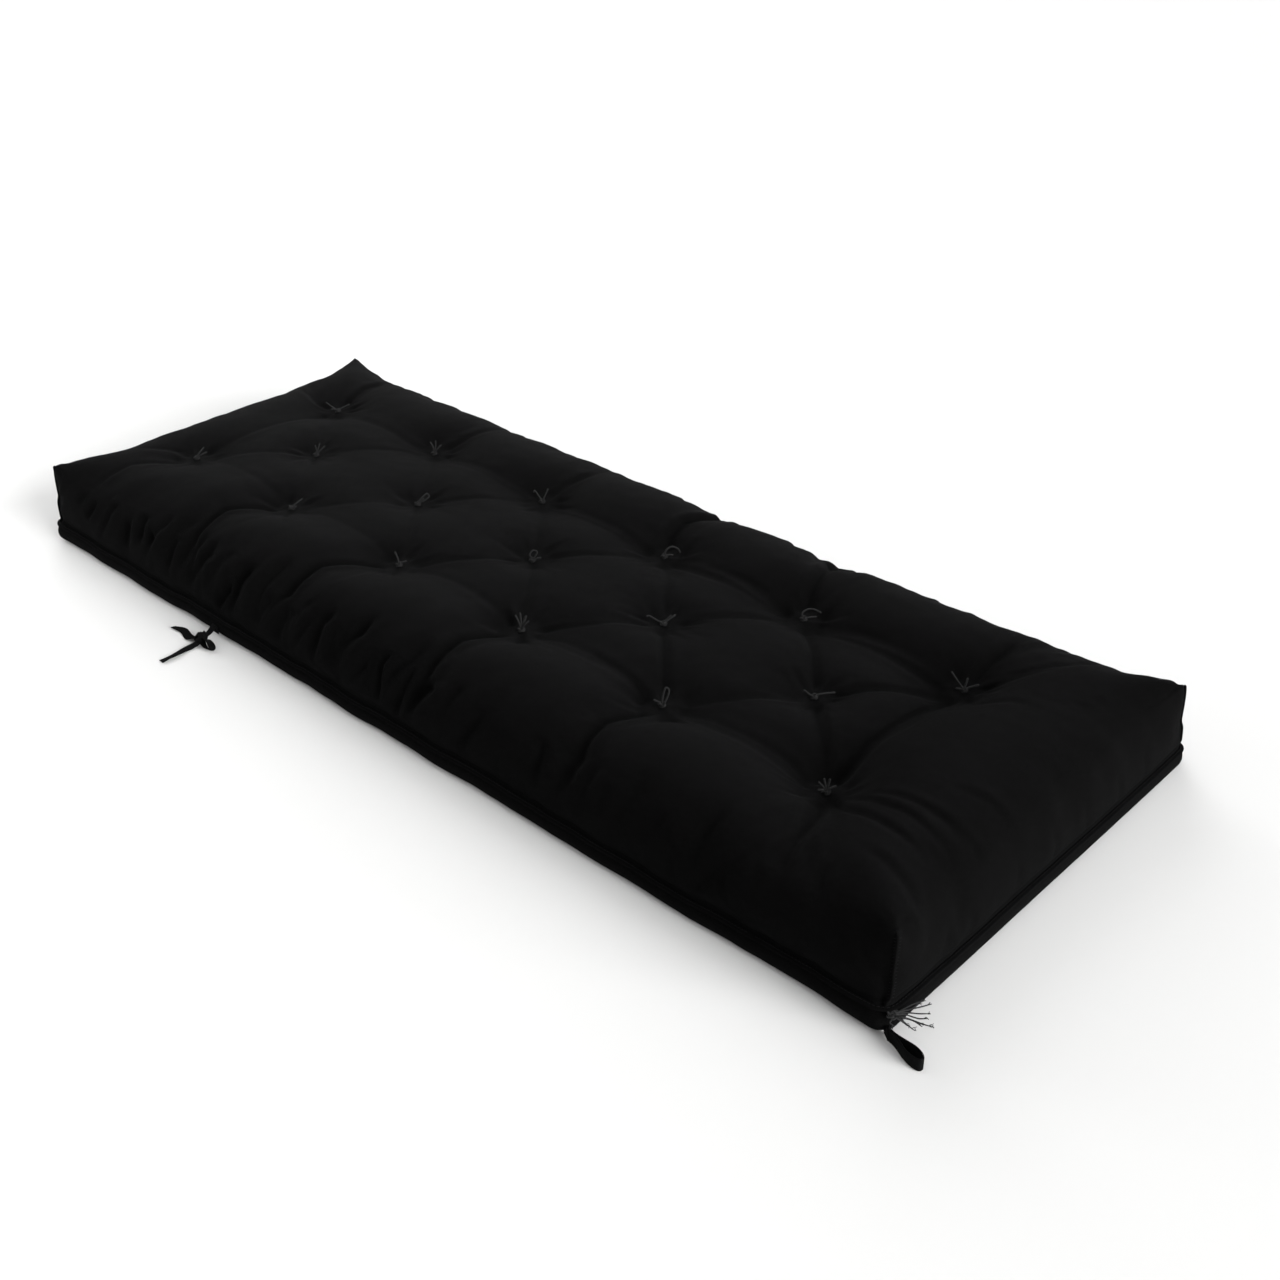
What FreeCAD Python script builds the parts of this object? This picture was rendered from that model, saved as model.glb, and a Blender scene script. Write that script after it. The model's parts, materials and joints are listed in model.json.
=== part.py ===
"""Single futon mattress: a tufted cotton casing filled with felt batts round a foam core.

The frame is +Z up. +X runs along the length and +Y across the width. The origin is on the
face that the mattress lies on, in the middle of the casing. The front long side faces -Y,
and the end with the two corner loops faces +X. All sizes are in millimetres and are cells
of the Sizes sheet.
"""

import FreeCAD
import Part
import math
import os
import Sketcher
from FreeCAD import Placement, Rotation, Vector

PARTS_FOLDER = "parts"

# Driving sizes: one plain number each, with the alias that expressions use.
SIZES = {
    "casing_length": 1890,
    "casing_width": 740,
    "cloth": 1.2,
    "corner_radius": 26,
    "shoulder_radius": 44,
    "hem_radius": 10,
    "seam_height": 30,
    "welt_width": 5,
    "welt_thick": 2.6,
    "ridge_width": 3,
    "ridge_thick": 2.6,
    "lower_batt": 20,
    "foam_thick": 40,
    "upper_batt": 24,
    "foam_inset": 26,
    "tuft_end_margin": 222,
    "tuft_side_margin": 210,
    "tuft_shift": -30,
    "top_well_radius": 82,
    "top_well_floor": 8,
    "top_well_depth": 44,
    "base_well_radius": 46,
    "base_well_floor": 15,
    "base_well_depth": 9,
    "twine_radius": 1.2,
    "twine_spacing": 6,
    "twine_clearance": 0.2,
    "knot_radius": 5,
    "tail_length": 42,
    "tail_rise": 52,
    "washer_radius": 12,
    "washer_thick": 3,
    "washer_gap": 0.1,
    "tape_thick": 1.5,
    "floor_gap": 0.3,
    "flap_gap": 0.3,
    "root_reach": 6,
    "loop_tape": 20,
    "loop_length": 58,
    "loop_opening": 12,
    "loop_gap_start": 14,
    "tie_tape": 15,
    "tie_root_low": 8,
    "tie_root_high": 22,
    "tie_drop": 24,
    "tie_place": 415,
    "tie_knot_reach": 30,
    "tie_knot_half": 9,
    "tie_knot_rise": 9,
    "tie_long_tail": 105,
    "tie_short_tail": 75,
    "tie_bow": 34,
    "closing_knot_radius": 4,
    "closing_thread": 26,
}

# Sizes that follow from the driving ones.
DERIVED = {
    "lower_top": "=cloth + 2 * lower_batt",
    "foam_top": "=lower_top + foam_thick",
    "fill_top": "=foam_top + 3 * upper_batt",
    "casing_height": "=fill_top + cloth",
    "fill_length": "=casing_length - 2 * cloth",
    "fill_width": "=casing_width - 2 * cloth",
    "tuft_pitch": "=(casing_length - 2 * tuft_end_margin) / 5",
    "tuft_row": "=casing_width / 2 - tuft_side_margin",
    "top_slope": "=(top_well_radius - top_well_floor) / top_well_depth",
    "top_grow": "=cloth * (sqrt(1 + top_slope ^ 2) - top_slope)",
    "base_slope": "=(base_well_radius - base_well_floor) / base_well_depth",
    "base_grow": "=cloth * (sqrt(1 + base_slope ^ 2) - base_slope)",
    "knot_height": "=casing_height - top_well_depth + knot_radius + washer_gap",
    "bar_top": "=base_well_depth - washer_thick - 2 * washer_gap",
    "loop_side": "=loop_opening / 2 + tape_thick",
    "loop_inner": "=loop_opening / 2",
    "gap_nose": "=tape_thick / 2",
    "bow_rise": "=3 * tape_thick",
    "loop_centre": "=loop_length - loop_side",
    "hinge_reach": "=corner_radius + root_reach + flap_gap + tape_thick",
    "tie_hinge": "=casing_width / 2 + 2 * tape_thick + flap_gap",
}

# The tufts stand in three rows: six in each outer row, five between them in the middle row.
OUTER_COLUMNS = 6
TUFTS = []
for column in range(OUTER_COLUMNS):
    along = column - (OUTER_COLUMNS - 1) / 2
    TUFTS.append((along, -1))
    TUFTS.append((along, 1))
    if column < OUTER_COLUMNS - 1:
        TUFTS.append((along + 0.5, 0))

CORNERS = {
    "front_right": (1, -1),
    "back_right": (1, 1),
    "back_left": (-1, 1),
    "front_left": (-1, -1),
}

# Each corner loop: its corner, where its root sits round that corner, and the way it points.
# Both are degrees from +X, seen from above. The back one lies along the back long side.
LOOPS = {
    "corner_loop_front": ("front_right", -35, -13),
    "corner_loop_back": ("back_right", 70, 150),
}

doc = FreeCAD.newDocument("futon_mattress")
sheet = doc.addObject("Spreadsheet::Sheet", "Sizes")
exported = []


def fill_sheet():
    rows = list(SIZES.items()) + list(DERIVED.items())
    for row, (alias, value) in enumerate(rows, start=1):
        sheet.set(f"A{row}", alias)
        sheet.set(f"B{row}", str(value))
        sheet.setAlias(f"B{row}", alias)
    doc.recompute()


def size(alias):
    """The present value of a cell, for what an expression can't reach."""
    return float(sheet.get(alias))


def cells(expression):
    """The expression with every alias pointed at the sheet."""
    words = set(SIZES) | set(DERIVED)
    out, word = [], ""
    for letter in expression + " ":
        if letter.isalnum() or letter == "_":
            word += letter
            continue
        out.append(f"Sizes.{word}" if word in words else word)
        out.append(letter)
        word = ""
    return "".join(out).strip()


def bind(item, **expressions):
    for name, expression in expressions.items():
        item.setExpression(name.replace("__", "."), cells(expression))
    return item


def place(item, x="0", y="0", z="0", turn=None):
    """Binds the item's place, and turns it first where turn is given."""
    if turn is not None:
        item.Placement = Placement(Vector(), turn)
    return bind(item, Placement__Base__x=x, Placement__Base__y=y, Placement__Base__z=z)


def make_box(name, length, width, height, x, y, z, turn=None):
    item = doc.addObject("Part::Box", name)
    bind(item, Length=length, Width=width, Height=height)
    return place(item, x, y, z, turn)


def make_cylinder(name, radius, height, x, y, z, turn=None):
    item = doc.addObject("Part::Cylinder", name)
    bind(item, Radius=radius, Height=height)
    return place(item, x, y, z, turn)


def make_cone(name, low_radius, high_radius, height, x, y, z):
    item = doc.addObject("Part::Cone", name)
    bind(item, Radius1=low_radius, Radius2=high_radius, Height=height)
    return place(item, x, y, z)


def make_ball(name, radius, x, y, z):
    """A sphere with its poles to the sides, clear of what runs in above and below."""
    item = doc.addObject("Part::Sphere", name)
    bind(item, Radius=radius)
    return place(item, x, y, z, Rotation(Vector(1, 0, 0), 90))


def group(name, members):
    item = doc.addObject("Part::Compound", name)
    item.Links = members
    return item


def fuse(name, members):
    item = doc.addObject("Part::MultiFuse", name)
    item.Shapes = members
    return item


def cut(name, base, tool):
    item = doc.addObject("Part::Cut", name)
    item.Base, item.Tool = base, tool
    return item


def common(name, base, tool):
    item = doc.addObject("Part::Common", name)
    item.Base, item.Tool = base, tool
    return item


def export(item, label):
    """Names a finished sub-part. Its label is its file's name."""
    item.Label = label
    exported.append(item)
    return item


def origin_plane(body, role):
    return next(f for f in body.Origin.OriginFeatures if f.Role == role)


def sketch_on(body, name, role="XY_Plane"):
    sketch = body.newObject("Sketcher::SketchObject", name)
    sketch.AttachmentSupport = (origin_plane(body, role), [""])
    sketch.MapMode = "FlatFace"
    return sketch


def centred_rectangle(sketch, length, width):
    """A rectangle about the sketch's origin, with both sizes bound to the sheet."""
    half = 50
    ends = [(-half, -half), (half, -half), (half, half), (-half, half)]
    for i in range(4):
        a, b = ends[i], ends[(i + 1) % 4]
        sketch.addGeometry(Part.LineSegment(Vector(*a, 0), Vector(*b, 0)))
    for i in range(4):
        sketch.addConstraint(Sketcher.Constraint("Coincident", i, 2, (i + 1) % 4, 1))
    sketch.addConstraint(Sketcher.Constraint("Horizontal", 0))
    sketch.addConstraint(Sketcher.Constraint("Vertical", 1))
    sketch.addConstraint(Sketcher.Constraint("Horizontal", 2))
    sketch.addConstraint(Sketcher.Constraint("Vertical", 3))
    sketch.addConstraint(Sketcher.Constraint("Symmetric", 0, 1, 1, 2, -1, 1))
    across = sketch.addConstraint(Sketcher.Constraint("DistanceX", 0, 1, 0, 2, 2 * half))
    up = sketch.addConstraint(Sketcher.Constraint("DistanceY", 1, 1, 1, 2, 2 * half))
    sketch.setExpression(f"Constraints[{across}]", cells(length))
    sketch.setExpression(f"Constraints[{up}]", cells(width))


def edges_where(shape, test):
    return [f"Edge{i}" for i, e in enumerate(shape.Edges, start=1) if test(e)]


def is_upright(edge):
    box = edge.BoundBox
    return box.XLength < 1e-6 and box.YLength < 1e-6


def round_edges(body, base, name, radius, test):
    """A fillet on the edges of the feature base that pass the test."""
    fillet = body.newObject("PartDesign::Fillet", name)
    fillet.Base = (base, edges_where(base.Shape, test))
    bind(fillet, Radius=radius)
    body.Tip = fillet
    doc.recompute()
    return fillet


def rounded_block(name, length, width, height, z, corner, shoulder=None, hem=None):
    """A slab with round upright corners and, where given, a round top and bottom edge."""
    body = doc.addObject("PartDesign::Body", name)
    sketch = sketch_on(body, name + "_outline")
    centred_rectangle(sketch, length, width)
    pad = body.newObject("PartDesign::Pad", name + "_pad")
    pad.Profile = sketch
    bind(pad, Length=height)
    doc.recompute()
    last = round_edges(body, pad, name + "_corners", corner, is_upright)
    for label, radius, top in (("shoulder", shoulder, True), ("hem", hem, False)):
        if radius is None:
            continue
        level = last.Shape.BoundBox.ZMax if top else last.Shape.BoundBox.ZMin
        last = round_edges(
            body, last, f"{name}_{label}", radius,
            lambda e, level=level: abs(e.BoundBox.ZMin - level) < 1e-6
            and abs(e.BoundBox.ZMax - level) < 1e-6,
        )
    place(body, z=z)
    return body


def tuft_xy(tuft):
    along, row = tuft
    return f"{along} * tuft_pitch + tuft_shift", f"{row} * tuft_row"


def wells(name, low_radius, high_radius, height, z):
    """One cone at each tuft, as a single cutting tool."""
    cones = []
    for number, tuft in enumerate(TUFTS, start=1):
        x, y = tuft_xy(tuft)
        cones.append(make_cone(f"{name}_{number:02d}", low_radius, high_radius, height, x, y, z))
    return group(name, cones)


def tufted_form(name, block, grow_top, grow_base, shift):
    """The block with a well at each tuft on both faces; shift lines its wells with cloth."""
    top = wells(
        name + "_top_wells", f"top_well_floor + {grow_top}", f"top_well_radius + {grow_top}",
        "top_well_depth", f"casing_height - top_well_depth - {shift}",
    )
    base = wells(
        name + "_base_wells", f"base_well_radius + {grow_base}", f"base_well_floor + {grow_base}",
        "base_well_depth", shift,
    )
    return cut(name, cut(name + "_topped", block, top), base)


def twine_holes():
    """Two holes at each tuft, right through, that the twine's legs pass."""
    holes = []
    for number, tuft in enumerate(TUFTS, start=1):
        x, y = tuft_xy(tuft)
        for side, word in ((-1, "a"), (1, "b")):
            holes.append(
                make_cylinder(
                    f"hole_{number:02d}{word}", "twine_radius + twine_clearance",
                    "casing_height", f"{x} + {side} * twine_spacing / 2", y, "0",
                )
            )
    return group("twine_holes", holes)


def make_covers(outer, inner, holes):
    """The casing's two cloths, which meet at the seam."""
    shell = cut("casing_shell", outer, inner)
    above = make_box(
        "above_seam", "casing_length", "casing_width", "casing_height - seam_height",
        "-casing_length / 2", "-casing_width / 2", "seam_height",
    )
    below = make_box(
        "below_seam", "casing_length", "casing_width", "seam_height",
        "-casing_length / 2", "-casing_width / 2", "0",
    )
    export(cut("top_cloth", common("top_half", shell, above), holes), "top_cover")
    export(cut("base_cloth", common("base_half", shell, below), holes), "bottom_cover")


def slab(name, low, height):
    return make_box(
        name, "casing_length", "casing_width", height,
        "-casing_length / 2", "-casing_width / 2", low,
    )


def make_filling(inner, holes):
    """Two felt batts, a foam core in a felt edge strip, and three more felt batts."""
    for number in (1, 2):
        low = f"cloth + {number - 1} * lower_batt"
        layer = common(f"lower_{number}", inner, slab(f"lower_slab_{number}", low, "lower_batt"))
        export(cut(f"lower_cut_{number}", layer, holes), f"lower_felt_batt_{number}")
    foam_block = rounded_block(
        "foam_block", "fill_length - 2 * foam_inset", "fill_width - 2 * foam_inset",
        "foam_thick", "lower_top", "corner_radius",
    )
    export(cut("foam_cut", foam_block, holes), "foam_core")
    band = common("edge_band", inner, slab("edge_slab", "lower_top", "foam_thick"))
    export(cut("edge_strip", band, foam_block), "foam_edge_strip")
    for number in (1, 2, 3):
        low = f"foam_top + {number - 1} * upper_batt"
        layer = common(f"upper_{number}", inner, slab(f"upper_slab_{number}", low, "upper_batt"))
        export(cut(f"upper_cut_{number}", layer, holes), f"upper_felt_batt_{number}")


def make_welt(casing_block):
    """The bound seam that stands proud all round where the two cloths meet."""
    flange = rounded_block(
        "welt_flange", "casing_length + 2 * welt_width", "casing_width + 2 * welt_width",
        "welt_thick", "seam_height - welt_thick / 2", "corner_radius + welt_width",
    )
    return export(cut("welt_ring", flange, casing_block), "edge_welt")


def corner_point(corner, angle, reach, aside):
    """Expressions for a point on a corner: reach out from the arc's centre, and aside of that."""
    end, side = corner
    c, s = f"cos({angle} deg)", f"sin({angle} deg)"
    x = f"{end} * (casing_length / 2 - corner_radius) + ({reach}) * {c} - ({aside}) * {s}"
    y = f"{side} * (casing_width / 2 - corner_radius) + ({reach}) * {s} + ({aside}) * {c}"
    return x, y


def upright_turn(angle):
    return Rotation(Vector(0, 0, 1), angle)


def make_corner_seams(casing_block):
    """The closed dart at each corner of the top cloth, a short ridge from welt to shoulder."""
    low = "seam_height + welt_thick / 2"
    ridges = {}
    for name, corner in CORNERS.items():
        angle = math.degrees(math.atan2(corner[1], corner[0]))
        x, y = corner_point(corner, angle, "corner_radius - ridge_width", "-ridge_thick / 2")
        blade = make_box(
            f"blade_{name}", "2 * ridge_width", "ridge_thick",
            f"casing_height - shoulder_radius - ({low})", x, y, low, upright_turn(angle),
        )
        ridges[name] = export(cut(f"ridge_{name}", blade, casing_block), f"corner_seam_{name}")
    return ridges


def make_tuft(number, tuft):
    """One stitch of twine: a flattened turn under the washer, two legs, a knot, two tails."""
    x, y = tuft_xy(tuft)
    name = f"tuft_{number:02d}"
    members = [
        make_ball(f"{name}_knot", "knot_radius", x, y, "knot_height"),
        make_box(
            f"{name}_turn", "twine_spacing + 4 * twine_radius", "3 * twine_radius",
            "2 * twine_radius", f"{x} - twine_spacing / 2 - 2 * twine_radius",
            f"{y} - 1.5 * twine_radius", "bar_top - 2 * twine_radius",
        ),
    ]
    for side, word in ((-1, "a"), (1, "b")):
        members.append(
            make_cylinder(
                f"{name}_leg_{word}", "twine_radius", "knot_height - bar_top + twine_radius",
                f"{x} + {side} * twine_spacing / 2", y, "bar_top - twine_radius",
            )
        )
        heading = 40 + 47 * number + 55 * side
        lean = Rotation(Vector(0, 0, 1), heading) * Rotation(
            Vector(0, 1, 0), 90 - size("tail_rise")
        )
        members.append(
            make_cylinder(
                f"{name}_tail_{word}", "twine_radius", "tail_length", x, y, "knot_height", lean
            )
        )
    export(fuse(f"{name}_twine", members), f"tuft_twine_{number:02d}")


def make_washers(holes):
    """A felt disc under the bottom cloth at each tuft, which the twine pulls against."""
    discs = []
    low = "base_well_depth - washer_thick - washer_gap"
    for number, tuft in enumerate(TUFTS, start=1):
        x, y = tuft_xy(tuft)
        discs.append(
            make_cylinder(f"disc_{number:02d}", "washer_radius", "washer_thick", x, y, low)
        )
    export(cut("washer_discs", group("discs", discs), holes), "tuft_washers")


def tapered_slot(sketch, nose, start, end, reach):
    """A closed outline round two circles on the X axis: radius nose at start, end at reach.

    With no start, the nose is round the sketch's own origin.
    """
    r0, r1, x1 = size(nose), size(end), size(reach)
    x0 = size(start) if start else 0
    lean = math.asin((r1 - r0) / (x1 - x0))
    wide = math.pi / 2 + lean
    low_start = Vector(x0 - r0 * math.sin(lean), -r0 * math.cos(lean), 0)
    low_end = Vector(x1 - r1 * math.sin(lean), -r1 * math.cos(lean), 0)
    high_start = Vector(low_start.x, -low_start.y, 0)
    high_end = Vector(low_end.x, -low_end.y, 0)
    far_circle = Part.Circle(Vector(x1, 0, 0), Vector(0, 0, 1), r1)
    nose_circle = Part.Circle(Vector(x0, 0, 0), Vector(0, 0, 1), r0)
    low = sketch.addGeometry(Part.LineSegment(low_start, low_end))
    far = sketch.addGeometry(Part.ArcOfCircle(far_circle, -wide, wide))
    high = sketch.addGeometry(Part.LineSegment(high_end, high_start))
    near = sketch.addGeometry(Part.ArcOfCircle(nose_circle, wide, 2 * math.pi - wide))
    for a, b in ((low, far), (far, high), (high, near), (near, low)):
        sketch.addConstraint(Sketcher.Constraint("Tangent", a, 2, b, 1))
    sized = [(("Radius", far, r1), end), (("Radius", near, r0), nose)]
    sized.append((("DistanceX", -1, 1, far, 3, x1), reach))
    sketch.addConstraint(Sketcher.Constraint("PointOnObject", far, 3, -1))
    if start:
        sketch.addConstraint(Sketcher.Constraint("PointOnObject", near, 3, -1))
        sized.append((("DistanceX", -1, 1, near, 3, x0), start))
    else:
        sketch.addConstraint(Sketcher.Constraint("Coincident", near, 3, -1, 1))
    for rule, expression in sized:
        at = sketch.addConstraint(Sketcher.Constraint(*rule))
        sketch.setExpression(f"Constraints[{at}]", cells(expression))


def make_corner_loop(name, corner_name, around, heading, casing_block):
    """A loop of tape standing on its edge at a corner, and the sewn root that it turns on."""
    corner = CORNERS[corner_name]
    x, y = corner_point(corner, around, "corner_radius - root_reach", "-tape_thick")
    tab = make_box(
        name + "_tab", "2 * root_reach", "2 * tape_thick", "loop_tape", x, y, "floor_gap",
        upright_turn(around),
    )
    export(cut(name + "_sewn", tab, casing_block), name + "_root")
    body = doc.addObject("PartDesign::Body", name + "_body")
    outline = sketch_on(body, name + "_outline")
    tapered_slot(outline, "tape_thick", None, "loop_side", "loop_centre")
    pad = body.newObject("PartDesign::Pad", name + "_pad")
    pad.Profile = outline
    bind(pad, Length="loop_tape")
    doc.recompute()
    gap = sketch_on(body, name + "_gap")
    tapered_slot(gap, "gap_nose", "loop_gap_start", "loop_inner", "loop_centre")
    pocket = body.newObject("PartDesign::Pocket", name + "_pocket")
    pocket.Profile = gap
    pocket.Reversed = True
    bind(pocket, Length="loop_tape")
    body.Tip = pocket
    doc.recompute()
    if pocket.Shape.Volume >= 0.9 * pad.Shape.Volume:
        raise SystemExit(f"the gap of {name} cut nothing")
    x, y = corner_point(corner, around, "hinge_reach", "0")
    place(body, x, y, "floor_gap", upright_turn(heading))
    export(body, name)


def make_front_tie(casing_block):
    """Two tapes knotted together, lying out in front of the side that they are sewn to."""
    centre = "-tie_place"
    patch = make_box(
        "tie_patch", "tie_tape", "4 * tape_thick", "tie_root_high - tie_root_low",
        f"{centre} - tie_tape / 2", "-casing_width / 2 - 2 * tape_thick", "tie_root_low",
    )
    export(cut("tie_sewn", patch, casing_block), "front_tie_root")

    left = f"{centre} - tie_tape / 2"
    drop = make_box(
        "tie_drop_strip", "tie_tape", "tape_thick", "tie_drop - floor_gap",
        left, "-tie_hinge - tape_thick", "floor_gap",
    )
    run = make_box(
        "tie_run_strip", "tie_tape", "tie_long_tail", "tape_thick",
        left, "-tie_hinge - tie_long_tail", "floor_gap",
    )
    export(fuse("tie_long", [drop, run]), "front_tie_tape_a")

    middle = "-tie_hinge - tie_knot_reach"
    near = f"{middle} - tie_knot_half"
    clear = "(tie_tape / 2 + flap_gap)"
    wall = "(3 * tape_thick)"
    pieces = [
        make_box(
            "tie_knot_over", f"2 * ({clear} + {wall})", "2 * tie_knot_half",
            "tie_knot_rise - tape_thick - flap_gap", f"{centre} - {clear} - {wall}", near,
            "floor_gap + tape_thick + flap_gap",
        )
    ]
    for word, x in (("left", f"{centre} - {clear} - {wall}"), ("right", f"{centre} + {clear}")):
        pieces.append(
            make_box(
                f"tie_knot_{word}", wall, "2 * tie_knot_half", "tie_knot_rise", x, near,
                "floor_gap",
            )
        )
    strip_y = f"{middle} - tie_tape / 2"
    pieces.append(
        make_box(
            "tie_short_strip", "tie_short_tail", "tie_tape", "tape_thick",
            f"{centre} - {clear} - tie_short_tail", strip_y, "floor_gap",
        )
    )
    bow_x = f"{centre} + {clear}"
    for word, z in (("low", "floor_gap"), ("high", "floor_gap + bow_rise")):
        pieces.append(
            make_box(f"bow_{word}", "tie_bow", "tie_tape", "tape_thick", bow_x, strip_y, z)
        )
    pieces.append(
        make_box(
            "bow_end", "tape_thick", "tie_tape", "bow_rise + tape_thick",
            f"{bow_x} + tie_bow - tape_thick", strip_y, "floor_gap",
        )
    )
    export(fuse("tie_short", pieces), "front_tie_tape_b")


def make_closing_knot(casing_block, welt, ridge):
    """The knot that closes the front right corner's seam, with three cut threads."""
    angle = -45
    x, y = corner_point(CORNERS["front_right"], angle, "corner_radius + welt_width", "0")
    z = "seam_height"
    pieces = [make_ball("closing_ball", "closing_knot_radius", x, y, z)]
    for number, spread in enumerate((-50, 0, 50), start=1):
        lean = Rotation(Vector(0, 0, 1), angle + spread) * Rotation(Vector(0, 1, 0), 100)
        pieces.append(
            make_cylinder(
                f"closing_thread_{number}", "twine_radius", "closing_thread", x, y, z, lean
            )
        )
    knot = cut("closing_clear", fuse("closing_twine", pieces), casing_block)
    export(cut("closing_fitted", cut("closing_welted", knot, welt), ridge), "corner_closing_knot")


def check_and_write():
    doc.recompute()
    for item in doc.Objects:
        if {"Invalid", "Error"} & set(item.State):
            raise SystemExit(f"{item.Label} failed: {item.State}")
    os.makedirs(PARTS_FOLDER, exist_ok=True)
    for item in exported:
        shape = item.Shape
        if shape.isNull() or not shape.isValid() or not shape.Solids:
            raise SystemExit(f"{item.Label} has no valid solid")
    for item in exported:
        item.Shape.exportStep(os.path.join(PARTS_FOLDER, item.Label + ".step"))


def main():
    fill_sheet()
    casing_block = rounded_block(
        "casing_block", "casing_length", "casing_width", "casing_height", "0",
        "corner_radius", "shoulder_radius", "hem_radius",
    )
    fill_block = rounded_block(
        "fill_block", "fill_length", "fill_width", "fill_top - cloth", "cloth",
        "corner_radius - cloth", "shoulder_radius - cloth", "hem_radius - cloth",
    )
    outer = tufted_form("outer_form", casing_block, "0", "0", "0")
    inner = tufted_form("inner_form", fill_block, "top_grow", "base_grow", "cloth")
    holes = twine_holes()
    make_covers(outer, inner, holes)
    make_filling(inner, holes)
    welt = make_welt(casing_block)
    ridges = make_corner_seams(casing_block)
    for number, tuft in enumerate(TUFTS, start=1):
        make_tuft(number, tuft)
    make_washers(holes)
    for name, (corner_name, around, heading) in LOOPS.items():
        make_corner_loop(name, corner_name, around, heading, casing_block)
    make_front_tie(casing_block)
    make_closing_knot(casing_block, welt, ridges["front_right"])
    check_and_write()


main()
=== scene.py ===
import json
import math

import bpy
import numpy as np
from mathutils import Matrix, Vector, noise


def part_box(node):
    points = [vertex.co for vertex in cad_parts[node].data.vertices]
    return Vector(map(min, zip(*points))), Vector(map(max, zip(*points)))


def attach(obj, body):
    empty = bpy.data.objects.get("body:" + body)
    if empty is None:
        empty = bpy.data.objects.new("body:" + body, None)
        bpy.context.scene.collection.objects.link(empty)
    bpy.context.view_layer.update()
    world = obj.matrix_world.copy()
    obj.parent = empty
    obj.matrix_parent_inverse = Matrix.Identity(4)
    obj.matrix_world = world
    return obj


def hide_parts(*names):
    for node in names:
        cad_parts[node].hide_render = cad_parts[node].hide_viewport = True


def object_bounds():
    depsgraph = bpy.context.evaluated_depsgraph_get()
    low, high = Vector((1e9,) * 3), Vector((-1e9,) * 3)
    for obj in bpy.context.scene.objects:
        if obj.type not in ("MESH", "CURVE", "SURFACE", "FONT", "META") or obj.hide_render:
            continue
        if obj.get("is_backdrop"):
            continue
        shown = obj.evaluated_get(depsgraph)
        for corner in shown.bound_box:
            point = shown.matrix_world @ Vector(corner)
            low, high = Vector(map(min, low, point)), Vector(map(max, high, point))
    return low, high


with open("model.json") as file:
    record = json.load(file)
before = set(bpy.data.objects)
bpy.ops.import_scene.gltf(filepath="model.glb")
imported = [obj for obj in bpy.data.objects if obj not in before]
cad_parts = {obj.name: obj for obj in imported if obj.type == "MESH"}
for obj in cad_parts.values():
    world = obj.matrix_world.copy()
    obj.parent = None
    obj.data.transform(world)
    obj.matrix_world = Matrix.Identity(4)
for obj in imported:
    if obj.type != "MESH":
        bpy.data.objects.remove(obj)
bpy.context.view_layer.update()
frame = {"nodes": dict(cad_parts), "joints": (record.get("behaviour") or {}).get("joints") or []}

nodes = frame["nodes"]
scene = bpy.context.scene

# ---------------------------------------------------------------- sizes from the CAD frame
top_low, top_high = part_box("top_cover")
SEAM = top_low.z
CLOTH_LENGTH = 1.885
CLOTH_WIDTH = 0.705
CLOTH_TOP = top_high.z - 0.006
GRID = 0.009  # the cloth's cell before it is divided
HEM = 0.02  # how far the cloth turns under at its foot
PLUMP_FROM, PLUMP_RISE = 0.12, 0.046  # above the first, heights are fitted into the second
DEEPEST_FOLD = 0.024
STITCH = 0.0003  # a stitch's radius
CLOTH_FRAMES, PULLED_BY = 30, 14
PHOTO_AZIMUTH = 0.76663

TUFT_NAMES = [f"tuft_twine_{n:02d}" for n in range(1, 18)]


def tuft_foot(name):
    """The middle of the twine's lowest turn, which is straight under its knot."""
    points = np.array([v.co[:] for v in nodes[name].data.vertices])
    low = points[points[:, 2] < points[:, 2].min() + 0.001]
    return (low.min(0) + low.max(0)) / 2


TUFTS = np.array([tuft_foot(n)[:2] for n in TUFT_NAMES])


def tuft_depth(x, y):
    """How high the cloth is drawn to at a tuft: deeper towards the end with the loops."""
    along = x / 0.75
    return 0.1315 - 0.0165 * along - 0.05 * (y + 0.02) * (1 - along) * 0.5


TUFT_Z = np.array([tuft_depth(x, y) for x, y in TUFTS])


def tuft_gaps(x, y):
    """How far each place is from each tuft, in plan."""
    return np.hypot(x[:, None] - TUFTS[:, 0], y[:, None] - TUFTS[:, 1])


# ---------------------------------------------------------------- the cover's grid
def sheet_net(nx, ny):
    """The faces of a sheet of nx by ny cells, and its rim as (column, row) pairs in a loop."""
    def at(i, j):
        return j * (nx + 1) + i

    faces = [(at(i, j), at(i + 1, j), at(i + 1, j + 1), at(i, j + 1)) for j in range(ny)
             for i in range(nx)]
    rim = [(i, 0) for i in range(nx)] + [(nx, j) for j in range(ny)]
    rim += [(i, ny) for i in range(nx, 0, -1)] + [(0, j) for j in range(ny, 0, -1)]
    return faces, rim, [at(*p) for p in rim]


def loops(count, size, base=0):
    """The point numbers of several loops that follow each other."""
    return [range(base + n * size, base + (n + 1) * size) for n in range(count)]


def walls(rings, flip=False):
    """Faces between each loop of point numbers and the next."""
    faces = []
    for one, two in zip(rings, rings[1:]):
        for k in range(len(one)):
            m = (k + 1) % len(one)
            face = [one[k], two[k], two[m], one[m]] if flip else [one[k], one[m], two[m], two[k]]
            faces.append(face)
    return faces


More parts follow.
